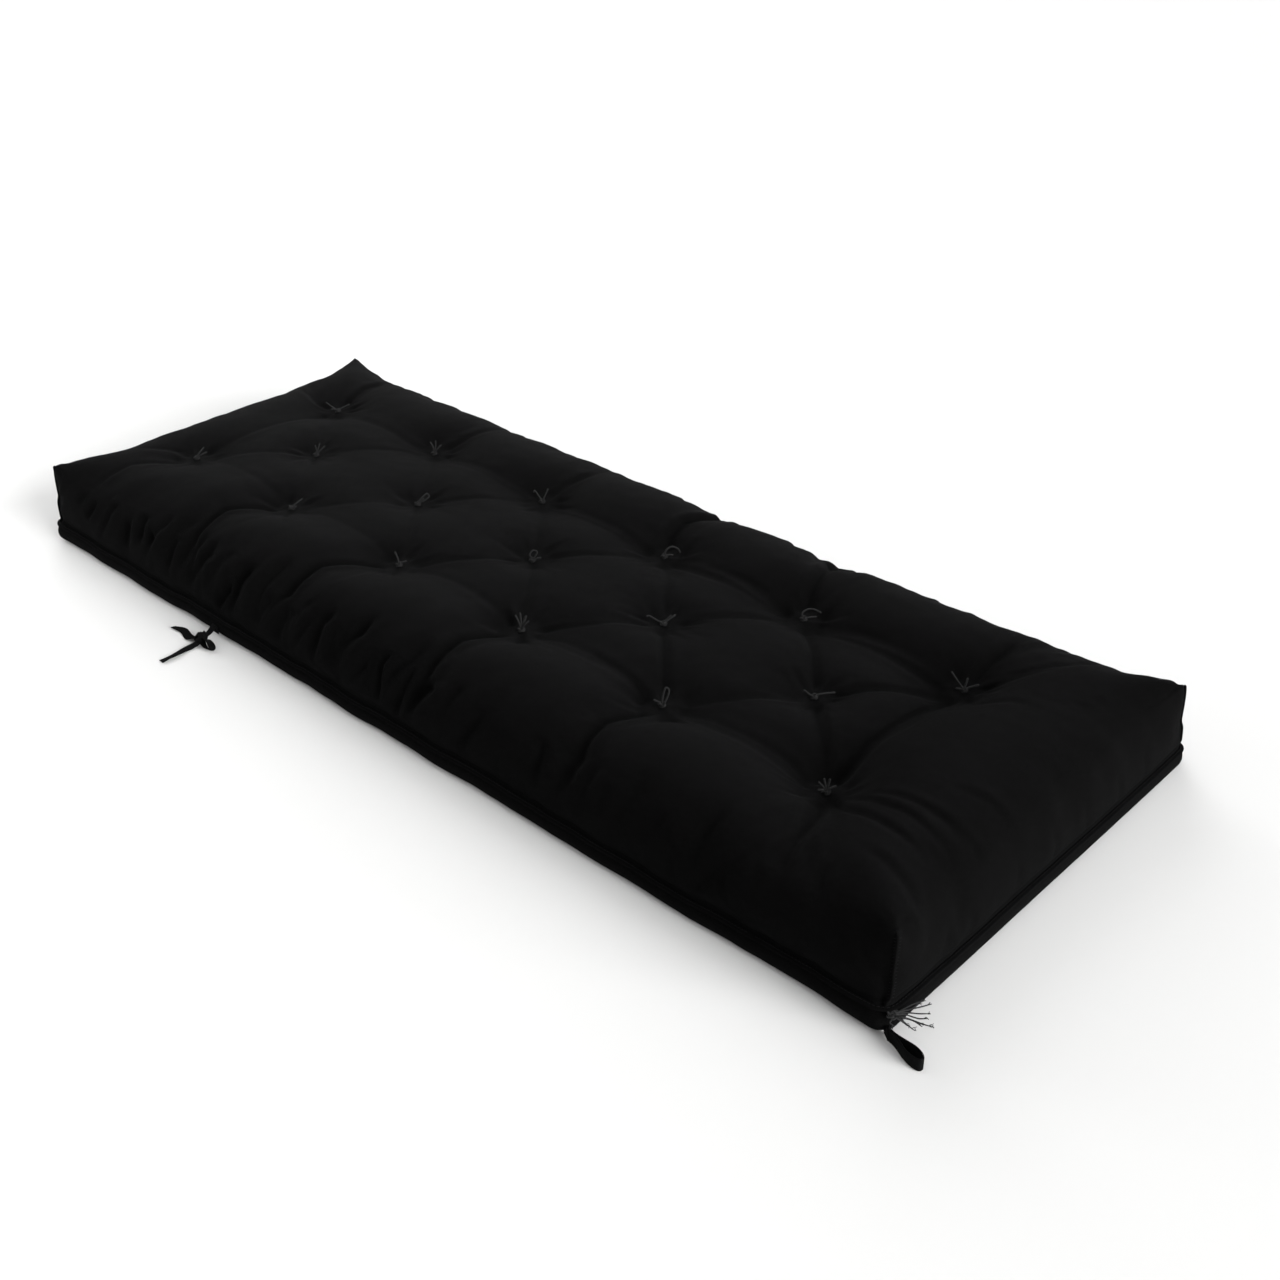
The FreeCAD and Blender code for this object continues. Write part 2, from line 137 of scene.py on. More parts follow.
def cover_grid():
    """A box of cloth: its top, four sides and a rounded foot."""
    nx, ny = round(CLOTH_LENGTH / GRID), round(CLOTH_WIDTH / GRID)
    xs = np.linspace(-CLOTH_LENGTH / 2, CLOTH_LENGTH / 2, nx + 1)
    ys = np.linspace(-CLOTH_WIDTH / 2, CLOTH_WIDTH / 2, ny + 1)
    faces, ring, rim = sheet_net(nx, ny)
    points = [(x, y, CLOTH_TOP) for y in ys for x in xs]
    down = round((CLOTH_TOP - HEM) / GRID)
    profile = [(0.0, CLOTH_TOP - (CLOTH_TOP - HEM) * k / down) for k in range(1, down + 1)]
    turn = max(2, round(HEM * math.pi / 2 / GRID))
    for k in range(1, turn + 1):
        a = math.pi / 2 * k / turn
        profile.append((HEM * (1 - math.cos(a)), HEM * (1 - math.sin(a))))
    rows = [rim] + [list(row) for row in loops(len(profile), len(ring), len(points))]
    drop = [0.0]
    last = (0.0, CLOTH_TOP)
    for inset, z in profile:
        for i, j in ring:
            points.append(
                (xs[i] * (1 - 2 * inset / CLOTH_LENGTH), ys[j] * (1 - 2 * inset / CLOTH_WIDTH), z)
            )
        drop.append(drop[-1] + math.hypot(inset - last[0], z - last[1]))
        last = (inset, z)
    return {"points": np.array(points), "faces": faces + walls(rows, flip=True), "rows": rows,
            "drop": drop, "nx": nx, "ny": ny}


grid = cover_grid()
FLAT = grid["points"]
TOP_COUNT = (grid["nx"] + 1) * (grid["ny"] + 1)
DROP = np.zeros(len(FLAT))
for row, depth in zip(grid["rows"], grid["drop"]):
    DROP[row] = depth


def rounded(points, radius):
    """The box's points moved on to the same box with round upper edges."""
    low = np.array([-CLOTH_LENGTH / 2 + radius, -CLOTH_WIDTH / 2 + radius, 0])
    high = np.array([CLOTH_LENGTH / 2 - radius, CLOTH_WIDTH / 2 - radius, CLOTH_TOP - radius])
    core = np.clip(points, low, high)
    core[:, 2] = np.minimum(points[:, 2], high[2])
    out = points - core
    far = np.linalg.norm(out, axis=1)
    reach = np.abs(out).max(axis=1)
    return core + out * np.where(far > 1e-9, reach / np.maximum(far, 1e-9), 1)[:, None]


def smooth_step(x):
    x = np.clip(x, 0, 1)
    return x * x * (3 - 2 * x)


def field(points, scale, seed=0.0):
    """Smooth noise from -1 to 1 at each point; scale is in waves per metre on each axis."""
    sx, sy, sz = scale
    return np.array(
        [noise.noise(Vector((p[0] * sx + seed, p[1] * sy - seed, p[2] * sz + 2 * seed)))
         for p in points]
    )


CORNER = np.hypot(CLOTH_LENGTH / 2 - np.abs(FLAT[:, 0]), CLOTH_WIDTH / 2 - np.abs(FLAT[:, 1]))


def plump_start():
    near = np.clip(1 - CORNER / 0.12, 0, 1)[:, None]
    points = rounded(FLAT, 0.05) * (1 - near) + rounded(FLAT, 0.014) * near
    low = FLAT[:, 2] < CLOTH_TOP * 0.45
    points[low] = FLAT[low]
    ear = np.clip(1 - CORNER / 0.14, 0, 1) ** 2 * np.clip(FLAT[:, 2] / CLOTH_TOP, 0, 1)
    points[:, 2] += 0.008 * ear
    return points


EDGE = CLOTH_WIDTH / 2
SEAM_ROW = int(np.argmin([abs(FLAT[row[0], 2] - SEAM) for row in grid["rows"]]))


def seam_line(points):
    """The side row at the seam, moved out to the line that the welt follows."""
    out = points.copy()
    out[:, 0] *= (top_high.x - 0.005) / (CLOTH_LENGTH / 2)
    out[:, 1] *= (top_high.y - 0.006) / EDGE
    out[:, 2] = SEAM
    return out


def simulate():
    """The cover as a soft sheet blown up against its tufts, and its folds."""
    start = plump_start()
    count = len(start)
    near = tuft_gaps(start[:, 0], start[:, 1])
    tuft = (np.arange(count) < TOP_COUNT) & (near.min(axis=1) < 0.0075)
    foot = np.zeros(count, bool)
    for row in grid["rows"][SEAM_ROW:]:
        foot[row] = True
    start[grid["rows"][SEAM_ROW]] = seam_line(FLAT[grid["rows"][SEAM_ROW]])
    bump = 0.002 * (field(FLAT, (28, 28, 10)) + field(FLAT, (60, 22, 6), 7))
    bump[foot | tuft] = 0
    start[:TOP_COUNT, 2] += bump[:TOP_COUNT]
    side = np.arange(count) >= TOP_COUNT
    facing = np.zeros((count, 2))
    facing[:, 0] = np.where(np.abs(FLAT[:, 0]) > CLOTH_LENGTH / 2 - 0.021, np.sign(FLAT[:, 0]), 0)
    facing[:, 1] = np.where(np.abs(FLAT[:, 1]) > EDGE - 0.021, np.sign(FLAT[:, 1]), 0)
    start[side, :2] += facing[side] * bump[side, None] * 1.5
    slack = FLAT * np.array([1.07, 1.08, 1])
    slack[:, 2] = CLOTH_TOP - DROP * 1.12

    mesh = bpy.data.meshes.new("cloth_work")
    mesh.from_pydata(start.tolist(), [], grid["faces"])
    work = bpy.data.objects.new("cloth_work", mesh)
    scene.collection.objects.link(work)
    pins = work.vertex_groups.new(name="pins")
    pins.add(np.nonzero(tuft | foot)[0].tolist(), 1.0, "REPLACE")
    work.shape_key_add(name="start")
    pulled = work.shape_key_add(name="pulled")
    drawn = start.copy()
    drawn[tuft, 2] = TUFT_Z[near.argmin(axis=1)][tuft]
    pulled.data.foreach_set("co", drawn.ravel())
    pulled.value = 0
    pulled.keyframe_insert("value", frame=1)
    pulled.value = 1
    pulled.keyframe_insert("value", frame=PULLED_BY)
    rest = work.shape_key_add(name="rest")
    rest.data.foreach_set("co", slack.ravel())
    cloth = work.modifiers.new("cloth", "CLOTH")
    settings = {
        "quality": 5, "mass": 0.02, "air_damping": 1, "tension_stiffness": 30,
        "compression_stiffness": 30, "shear_stiffness": 10, "bending_stiffness": 0.01,
        "tension_damping": 5, "compression_damping": 5, "shear_damping": 5, "bending_damping": 0.5,
        "use_pressure": True, "uniform_pressure_force": 130, "vertex_group_mass": "pins",
        "pin_stiffness": 1, "rest_shape_key": rest,
    }
    for key, value in settings.items():
        setattr(cloth.settings, key, value)
    cloth.settings.effector_weights.gravity = 0
    cloth.collision_settings.use_collision = False
    cloth.point_cache.frame_start = 1
    cloth.point_cache.frame_end = CLOTH_FRAMES
    for number in range(1, CLOTH_FRAMES + 1):
        scene.frame_set(number)
    shaped = work.evaluated_get(bpy.context.evaluated_depsgraph_get())
    result = np.zeros(count * 3)
    shaped.data.vertices.foreach_get("co", result)
    bpy.data.objects.remove(work)
    bpy.data.meshes.remove(mesh)
    scene.frame_set(1)
    return result.reshape(-1, 3)


cover = simulate()
# Below the seam the base cover stands nearly upright, then turns under.
TURNED_UP = [(0.0065, 0.0235), (0.0085, 0.0135), (0.005, 0.0045), (-0.008, 0.0008)]
for row, (out_by, z) in zip(grid["rows"][SEAM_ROW + 1:], TURNED_UP):
    line = seam_line(FLAT[grid["rows"][SEAM_ROW]])
    cover[row, 0] = line[:, 0] * (1 + out_by / (CLOTH_LENGTH / 2))
    cover[row, 1] = line[:, 1] * (1 + out_by / EDGE)
    cover[row, 2] = z
tall = cover[:, 2] > PLUMP_FROM
squeeze = PLUMP_RISE / (cover[:, 2].max() - PLUMP_FROM)
cover[tall, 2] = PLUMP_FROM + (cover[tall, 2] - PLUMP_FROM) * squeeze


# ---------------------------------------------------------------- finer mesh
def subdivide(points, faces, groups, kind):
    """The mesh divided once. Faces keep their group number."""
    mesh = bpy.data.meshes.new("work")
    mesh.from_pydata(points.tolist(), [], faces)
    mesh.polygons.foreach_set("material_index", groups)
    work = bpy.data.objects.new("work", mesh)
    scene.collection.objects.link(work)
    divide = work.modifiers.new("divide", "SUBSURF")
    divide.subdivision_type = kind
    divide.levels = divide.render_levels = 1
    divided = work.evaluated_get(bpy.context.evaluated_depsgraph_get())
    done = bpy.data.meshes.new_from_object(divided)
    out = np.zeros(len(done.vertices) * 3)
    done.vertices.foreach_get("co", out)
    normals = np.zeros(len(done.vertices) * 3)
    done.vertices.foreach_get("normal", normals)
    group = np.zeros(len(done.polygons), int)
    done.polygons.foreach_get("material_index", group)
    quads = [tuple(p.vertices) for p in done.polygons]
    bpy.data.objects.remove(work)
    bpy.data.meshes.remove(mesh)
    bpy.data.meshes.remove(done)
    return out.reshape(-1, 3), normals.reshape(-1, 3), quads, group


groups = np.zeros(len(grid["faces"]), int)
groups[grid["nx"] * grid["ny"] + SEAM_ROW * len(grid["rows"][0]):] = 1
flat_fine, _, quads, group = subdivide(FLAT, grid["faces"], groups, "SIMPLE")
fine, normal, _, _ = subdivide(cover, grid["faces"], groups, "CATMULL_CLARK")
if normal[flat_fine[:, 2].argmax(), 2] < 0:
    normal = -normal

# Where each point of the cloth lies when its sides are laid out flat beside its top.
HALF = CLOTH_LENGTH / 2
fallen = CLOTH_TOP - flat_fine[:, 2]
over_x = np.abs(flat_fine[:, 0]) / HALF
over_y = np.abs(flat_fine[:, 1]) / EDGE
on_end = (over_x > over_y) & (fallen > 1e-6)
on_side = ~on_end & (fallen > 1e-6)
U = flat_fine[:, 0] + np.sign(flat_fine[:, 0]) * fallen * on_end
V = flat_fine[:, 1] + np.sign(flat_fine[:, 1]) * fallen * on_side
push = np.zeros(len(fine))


def along(points, line):
    """Distance from each point to a line of points, and how far along it, from 0 to 1."""
    line = np.array(line, float)
    legs = np.linalg.norm(np.diff(line, axis=0), axis=1)
    total = legs.sum()
    best = np.full(len(points), 9.0)
    where = np.zeros(len(points))
    side = np.zeros(len(points))
    gone = 0.0
    for a, b, leg in zip(line, line[1:], legs):
        d = (b - a) / leg
        rel = points - a
        t = np.clip(rel @ d, 0, leg)
        off = rel - t[:, None] * d
        gap = np.linalg.norm(off, axis=1)
        nearer = gap < best
        best[nearer] = gap[nearer]
        where[nearer] = ((gone + t) / total)[nearer]
        side[nearer] = np.sign(rel @ np.array([-d[1], d[0]]))[nearer]
        gone += leg
    return best, where, side


def fold(line, deep, width=0.007, broad=0.0, spread=0.045, start=0.02, end=0.35, ridge=0.35):
    """Presses a valley into the cloth along a line, with a soft ridge on one side of it."""
    global push
    line = np.array(line, float)
    reach = spread * 2.6 if broad else width * 5
    low, high = line.min(0) - reach, line.max(0) + reach
    inside = (U > low[0]) & (U < high[0]) & (V > low[1]) & (V < high[1])
    inside = np.nonzero(inside)[0]
    if not len(inside):
        return
    gap, t, side = along(np.stack([U[inside], V[inside]], 1), line)
    hold = smooth_step(t / start) if start else 1.0
    hold = hold * smooth_step((1 - t) / end)
    sharp = -np.exp(-(gap / width) ** 1.5) + ridge * np.exp(-((gap * side - 2.0 * width)
    / (1.3 * width)) ** 2)
    wide = -np.exp(-((gap / spread) ** 2))
    past = np.exp(-((gap / (reach * 0.8)) ** 4))
    push[inside] += hold * past * (deep * sharp + broad * wide)


def tuft(column, row):
    """The place of a tuft: row -1 is the front one, 0 the middle one and 1 the back one."""
    ranked = sorted(tuple(t) for t in TUFTS if abs(t[1] - row * TUFTS[:, 1].max()) < 0.01)
    return np.array(ranked[column])


DOWN = 1000 * (EDGE - TUFTS[:, 1].max())
# Folds that start at a tuft, in millimetres: the tuft's column and row, the depth of the crease
# and of the broad valley round it, the share of its length over which it fades out, offsets from
# the tuft, and for some the crease's width and the share over which it fades in.
TUFT_FOLDS = [
    # Folds from each front tuft over the front edge and down the side.
    (0, -1, 3, 6, 0.5, [(-20, -50), (-60, -100), (-80, -DOWN - 50)]),
    (1, -1, 8, 10, 0.35, [(-40, -40), (-70, -90), (-60, -DOWN), (-70, -DOWN - 100)]),
    (2, -1, 9, 11, 0.35, [(-40, -40), (-80, -100), (-80, -DOWN), (-110, -DOWN - 90)]),
    (3, -1, 10, 12, 0.35, [(-20, -40), (-35, -90), (-25, -DOWN), (-35, -DOWN - 90)], 8, 0.02),
    (4, -1, 12, 14, 0.35, [(-10, -50), (-20, -100), (0, -DOWN), (0, -DOWN - 80)], 8, 0.02),
    (5, -1, 5, 6, 0.5, [(30, -60), (45, -110), (70, -DOWN - 20)]),
    # Folds from each back tuft over the back edge.
    (0, 1, 4, 6, 0.5, [(-10, 30), (-30, 90), (-40, DOWN + 30)]),
    (1, 1, 3, 6, 0.5, [(10, 60), (20, 120), (20, DOWN + 40)]),
    (2, 1, 3, 6, 0.5, [(0, 60), (10, 120), (0, DOWN + 40)]),
    (3, 1, 11, 12, 0.3, [(-30, 50), (-40, 100), (-20, DOWN), (-20, DOWN + 60)], 8, 0.02),
    (4, 1, 11, 13, 0.3, [(-30, 60), (-50, 120), (-70, DOWN), (-70, DOWN + 60)], 8, 0.02),
    (5, 1, 4, 7, 0.5, [(0, 60), (0, 120), (10, DOWN + 20)]),
    # Folds out of the end tufts towards the ends.
    (0, -1, 3, 4, 0.7, [(-40, 0), (-100, -50), (-160, -80)]),
    (0, 1, 4, 4, 0.7, [(-50, -10), (-120, 0), (-180, 10)]),
    (5, -1, 4.5, 5, 0.6, [(50, -25), (110, -35), (180, -50), (240, -75)], 5.5, 0.02),
    (5, -1, 3, 0, 0.6, [(70, 0), (140, -5), (210, -20), (270, -50)], 5, 0.15),
    (5, -1, 2.6, 0, 0.6, [(100, 20), (170, 20), (240, 0), (290, -30)], 5, 0.4),
    (4, 0, 3, 0, 0.1, [(55, -45), (100, -100), (140, -155)], 5, 0.1),
    (5, 1, 3, 3, 0.7, [(50, -40), (100, -20), (170, -20)]),
]
for column, row, deep, broad, end, steps, *rest in TUFT_FOLDS:
    width, start = rest or (7, 0.02)
    line = [tuft(column, row)] + [tuft(column, row) + np.array(step) / 1000 for step in steps]
    fold(line, deep / 1000, width / 1000, broad / 1000, start=start, end=end)
# Free folds near the end with the loops: depth, fade in, fade out and the points.
for deep, start, end, line in (
    (3, 0.3, 0.5, [(800, -280), (820, -1000 * EDGE), (825, -1000 * EDGE - 50)]),
    (2.5, 0.3, 0.5, [(800, -250), (860, -260), (930, -280), (980, -300)]),
    (2, 0.3, 0.5, [(820, -150), (880, -140), (960, -150), (1000, -160)]),
    (1.8, 0.4, 0.5, [(830, -90), (890, -70), (970, -70)]),
):
    fold(np.array(line) / 1000, deep / 1000, start=start, end=end)
# Valleys between neighbouring tufts, deepest towards the end with the loops.
for column in range(5):
    gain = (0.35, 0.45, 0.6, 0.85, 1.0)[column]
    for row in (-1, 1):
        a, b = tuft(column, row), tuft(column + 1, row)
        middle = (a + b) / 2 + np.array([0, -0.012 * row])
        fold([a, (a + middle) / 2 + [0, -0.006 * row], middle, (b + middle) / 2 + [0, -0.006 * row],
              b],
             0.003 * gain, broad=0.009 * gain, spread=0.05, start=0.06, end=0.06, ridge=0.15)
        middle_tuft = tuft(column, 0)
        for corner in (a, b):
            half = (corner + middle_tuft) / 2 + np.array([0.006, 0.004 * row])
            strong = 1.7 if (column, row, corner is a) in ((4, 1, True), (3, -1, False),
            (4, -1, False)) else 1.0
            fold([middle_tuft, half, corner], 0.0032 * gain * strong, broad=0.004 * gain,
                 spread=0.03,
                 start=0.06, end=0.06, ridge=0.25)
fold([tuft(5, 1), tuft(5, 1) + [-0.008, -0.1], tuft(5, -1) + [-0.012, 0.11], tuft(5, -1)],
     0.005, broad=0.01, spread=0.045, start=0.06, end=0.06)
fold([tuft(0, 1), tuft(0, 1) + [-0.006, -0.14], tuft(0, -1)], 0.002, broad=0.005, start=0.06,
     end=0.06)

# Small creases that spread from each tuft, and gathers down the sides.
rng = np.random.default_rng(17)
for x, y in TUFTS:
    turn = rng.uniform(0, math.tau)
    for k in range(9):
        a = turn + math.tau * (k + rng.uniform(-0.3, 0.3)) / 9
        far = rng.uniform(0.045, 0.1)
        bend = rng.uniform(-0.25, 0.25)
        line = [(x + math.cos(a) * 0.006, y + math.sin(a) * 0.006),
                (x + math.cos(a + bend / 2) * far * 0.5, y + math.sin(a + bend / 2) * far * 0.5),
                (x + math.cos(a + bend) * far, y + math.sin(a + bend) * far)]
        fold(line, rng.uniform(0.0016, 0.0036), width=rng.uniform(0.0042, 0.006), start=0.02,
             end=0.85, ridge=0.5)


def gathers(low, high, sign, spacing, deep, seed):
    """Creases down a long side, between two places along it: long and short, leaning both ways."""
    draw = np.random.default_rng(seed)
    u = low
    while u < high:
        kind = draw.uniform()
        top = EDGE + (draw.uniform(-0.085, -0.02) if kind < 0.35 else draw.uniform(-0.015, 0.03))
        foot = EDGE + (draw.uniform(0.085, 0.114) if kind < 0.75 else draw.uniform(0.05, 0.08))
        lean = draw.uniform(-0.05, 0.012)
        bow = draw.uniform(-0.012, 0.012)
        fade = 1 - 0.55 * smooth_step((u - 0.1) / 0.6)
        size = deep * fade * draw.uniform(0.35, 1.35)
        fold([(u, sign * top), (u + lean * 0.35 + bow, sign * (top * 0.6 + foot * 0.4)),
              (u + lean * 0.8 + bow * 0.5, sign * (top * 0.2 + foot * 0.8)),
              (u + lean, sign * foot)],
             size, width=draw.uniform(0.005, 0.011), broad=size * draw.uniform(0.3, 0.9),
             spread=draw.uniform(0.012, 0.024), start=draw.uniform(0.2, 0.5),
             end=draw.uniform(0.25, 0.6),
             ridge=draw.uniform(0.2, 0.7))
        u += draw.uniform(*spacing)


# Puckers that spread from the top of each corner seam.
for sx in (-1, 1):
    for sy in (-1, 1):
        for k in range(7):
            a = math.radians(-38 + 127 * k / 6) + rng.uniform(-0.1, 0.1)
            far = rng.uniform(0.03, 0.07)
            start = np.array([sx * (HALF - 0.004), sy * (EDGE - 0.004)])
            way = np.array([-sx * math.cos(a), -sy * math.sin(a)])
            fold([start, start + way * far * 0.5, start + way * far], rng.uniform(0.001, 0.0024),
                 width=0.0045, start=0.15, end=0.8, ridge=0.5)
gathers(-0.82, 0.1, -1, (0.014, 0.04), 0.0056, 5)
gathers(0.1, 0.76, -1, (0.022, 0.066), 0.0054, 6)
gathers(-0.8, 0.8, 1, (0.03, 0.08), 0.0038, 9)
for side, seed in ((-1, 3), (1, 4)):
    draw = np.random.default_rng(seed)
    for v in np.arange(-0.26, 0.28, 0.085):
        v += draw.uniform(-0.02, 0.02)
        fold([(side * (HALF + 0.045), v), (side * (HALF + 0.085), v + draw.uniform(-0.01, 0.01)),
              (side * (HALF + 0.12), v + draw.uniform(-0.015, 0.015))],
             0.0016, width=0.007, start=0.4, end=0.2)



def flat_field(u, v, waves, seed):
    """Smooth noise from -1 to 1 over a flat sheet; waves is in waves per metre."""
    return field(np.stack([u, v, 0 * u], 1), (*waves, 0), seed)


lumps = 0.0018 * flat_field(U, V, (11, 12), 3)
lumps += 0.0007 * flat_field(U, V, (34, 38), 11)
lumps += 0.00022 * flat_field(U, V, (120, 120), 23)
held = smooth_step((SEAM - 0.004 - flat_fine[:, 2]) / -0.03)
tuft_gap = tuft_gaps(U, V).min(axis=1)
push = np.where(push < 0, DEEPEST_FOLD * np.tanh(push / DEEPEST_FOLD), push)
keep = held * (0.3 + 0.7 * smooth_step((tuft_gap - 0.004) / 0.032)) * smooth_step(tuft_gap / 0.006)
fine = fine + normal * ((push + lumps) * keep)[:, None]
# At each tuft the cloth runs down in a cone to the knot.
for x, y in TUFTS:
    away = np.hypot(fine[:, 0] - x, fine[:, 1] - y)
    near_it = np.nonzero((away < 0.034) & (fallen < 1e-6))[0]
    ring_z = fine[near_it[(away[near_it] > 0.025) & (away[near_it] < 0.031)], 2].mean()
    foot_z = fine[near_it[np.argmin(away[near_it])], 2]
    depth = (ring_z - foot_z) * 0.8
    cone = ring_z - depth * np.clip(1 - away[near_it] / 0.029, 0, 1) ** 1.15
    weight = smooth_step((0.032 - away[near_it]) / 0.016)
    uneven = 0.5 * np.clip(fine[near_it, 2] - cone, -0.004, 0.004)
    fine[near_it, 2] += weight * (cone + uneven - fine[near_it, 2])
# The sewn row draws the cloth in just above and below it, and wanders a little along the sides.
pinch = 0.003 * np.exp(-(((fine[:, 2] - SEAM - 0.006) / 0.004) ** 2))
pinch[(flat_fine[:, 2] > 0.06) | (flat_fine[:, 2] < SEAM)] = 0
fine[:, :2] -= normal[:, :2] * pinch[:, None]
low_part = smooth_step((0.085 - flat_fine[:, 2]) / 0.05)
wander = 0.0042 * flat_field(U, np.sign(V) * 0.5, (8.5, 1), 31)
wander += 0.0016 * flat_field(U, np.sign(V) * 0.5, (24, 1), 37)
wander -= 0.0015
fine[:, 1] += np.sign(fine[:, 1]) * np.where(on_side, wander * low_part,
        0) * smooth_step((HALF - np.abs(fine[:, 0])) / 0.1)
rise = 0.0025 + 0.0022 * flat_field(fine[:, 0], fine[:, 1], (6, 6), 43)
rise += 0.0085 * np.exp(-np.hypot(fine[:, 0] - HALF, fine[:, 1] + EDGE) / 0.16)
fine[:, 2] += rise * low_part * smooth_step(fine[:, 2] / 0.02) * (fallen > 1e-6)
fine[:, 2] = np.clip(fine[:, 2], 0.0008, top_high.z + 0.0136)


def round_corners(points):
    """Turns the four upright corners on a small radius, as the casing's are."""
    out = points.copy()
    for sx in (-1, 1):
        for sy in (-1, 1):
            radius = 0.024
            px = sx * points[:, 0] - (top_high.x - radius - 0.001)
            py = sy * points[:, 1] - (top_high.y - radius - 0.001)
            both = (px > 0) & (py > 0)
            reach = np.hypot(px, py)
            shrink = np.maximum(px, py) / np.maximum(reach, 1e-9)
            weight = np.where(both, 1 - 0.45 * smooth_step((points[:, 2] - 0.03) / 0.05), 0)
            out[:, 0] += sx * px * (shrink - 1) * weight
            out[:, 1] += sy * py * (shrink - 1) * weight
    return out


fine = round_corners(fine)


# ---------------------------------------------------------------- making pieces
def piece(name, shape, look, stands_for=(), body="mattress"):
    """A mesh piece of (points, faces) that rides on a body and takes the place of CAD nodes.
    look is its material."""
    points, faces = shape
    mesh = bpy.data.meshes.new(name)
    mesh.from_pydata([tuple(map(float, p)) for p in points], [],
    [tuple(map(int, f)) for f in faces])
    mesh.update()
    mesh.polygons.foreach_set("use_smooth", [True] * len(mesh.polygons))
    mesh.materials.append(look[0])
    obj = bpy.data.objects.new(name, mesh)
    scene.collection.objects.link(obj)
    if stands_for:
        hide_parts(*stands_for)
    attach(obj, body)
    return obj


def pick(points, faces):
    """Only the points that these faces use, and the faces with their new numbers."""
    faces = np.array(faces)
    used, back = np.unique(faces, return_inverse=True)
    return points[used], back.reshape(faces.shape)


def open_rings(points, faces):
    """The open edges of a sheet as loops of point numbers, the lowest one first."""
    faces = [tuple(f) for f in faces]
    pairs = {(a, b) for f in faces for a, b in zip(f, f[1:] + f[:1])}
    onward = {b: a for a, b in pairs if (b, a) not in pairs}
    rings = []
    while onward:
        start = next(iter(onward))
        ring = [start]
        step = onward.pop(start)
        while step != start:
            ring.append(step)
            step = onward.pop(step)
        rings.append(ring)
    return sorted(rings, key=lambda ring: points[ring][:, 2].mean())


def tube(path, radii, sides=8, flat=1.0, up=(0, 0, 1)):
    """A closed tube along a path, with its own radius at each point. Returns points and faces."""
    path = np.array(path, float)
    radii = np.broadcast_to(np.array(radii, float), (len(path),))
    ahead = np.gradient(path, axis=0)
    ahead /= np.linalg.norm(ahead, axis=1)[:, None]
    across = np.cross(ahead[0], np.array(up, float))
    if np.linalg.norm(across) < 1e-3:
        across = np.cross(ahead[0], np.array([1.0, 0.2, 0]))
    points = []
    for p, t, r in zip(path, ahead, radii):
        across = across - t * (across @ t)
        across /= np.linalg.norm(across)
        second = np.cross(t, across)
        for k in range(sides):
            a = math.tau * k / sides
            points.append(p + r * (math.cos(a) * across + math.sin(a) * flat * second))
    faces = walls(loops(len(path), sides))
    first, last = len(points), len(points) + 1
    points += [path[0] - ahead[0] * radii[0] * 0.5, path[-1] + ahead[-1] * radii[-1] * 0.5]
    end = (len(path) - 1) * sides
    for k in range(sides):
        m = (k + 1) % sides
        faces.append([first, m, k])
        faces.append([last, end + k, end + m])
    return np.array(points), faces


def joined(parts):
    """Several (points, faces) pairs as one pair."""
    points, faces, base = [], [], 0
    for p, f in parts:
        points.append(np.asarray(p, float))
        faces += [[base + i for i in face] for face in f]
        base += len(p)
    return np.concatenate(points), faces


def curve(points, count=24):
    """A smooth line through points, with evenly spread samples."""
    points = np.array(points, float)
    if len(points) == 2:
        return points[0] + np.linspace(0, 1, count)[:, None] * (points[1] - points[0])
    padded = np.vstack([2 * points[0] - points[1], points, 2 * points[-1] - points[-2]])
    out = []
    spans = len(points) - 1
    for s in np.linspace(0, spans - 1e-6, count):
        i = int(s)
        t = s - i
        p0, p1, p2, p3 = padded[i:i + 4]
        out.append(0.5 * (2 * p1 + (p2 - p0) * t + (2 * p0 - 5 * p1 + 4 * p2 - p3) * t**2
                          + (3 * p1 - p0 - 3 * p2 + p3) * t**3))
    return np.array(out)


def ribbon(path, widths, thick, up, round_edge=0.35):
    """A flat tape along a path: widths across it, thick through it. up is the way its face
    looks, one for all or one for each point."""
    path = np.array(path, float)
    n = len(path)
    widths = np.broadcast_to(np.array(widths, float), (n,))
    up = np.broadcast_to(np.array(up, float), (n, 3))
    ahead = np.gradient(path, axis=0)
    ahead /= np.linalg.norm(ahead, axis=1)[:, None]
    section = [(-1, 0.0), (-1 + round_edge * 0.2, 0.42), (-0.45, 0.5), (0, 0.5), (0.45, 0.5),
               (1 - round_edge * 0.2, 0.42), (1, 0.0), (1 - round_edge * 0.2, -0.42), (0.45, -0.5),
               (0, -0.5), (-0.45, -0.5), (-1 + round_edge * 0.2, -0.42)]
    points = []
    for p, t, w, u in zip(path, ahead, widths, up):
        face = u - t * (u @ t)
        face /= np.linalg.norm(face)
        across = np.cross(t, face)
        points += [p + across * s * w / 2 + face * h * thick for s, h in section]
    m = len(section)
    faces = walls(loops(n, m), flip=True)
    faces.append(list(range(m)))
    faces.append(list(range(n * m - 1, (n - 1) * m - 1, -1)))
    return np.array(points), faces


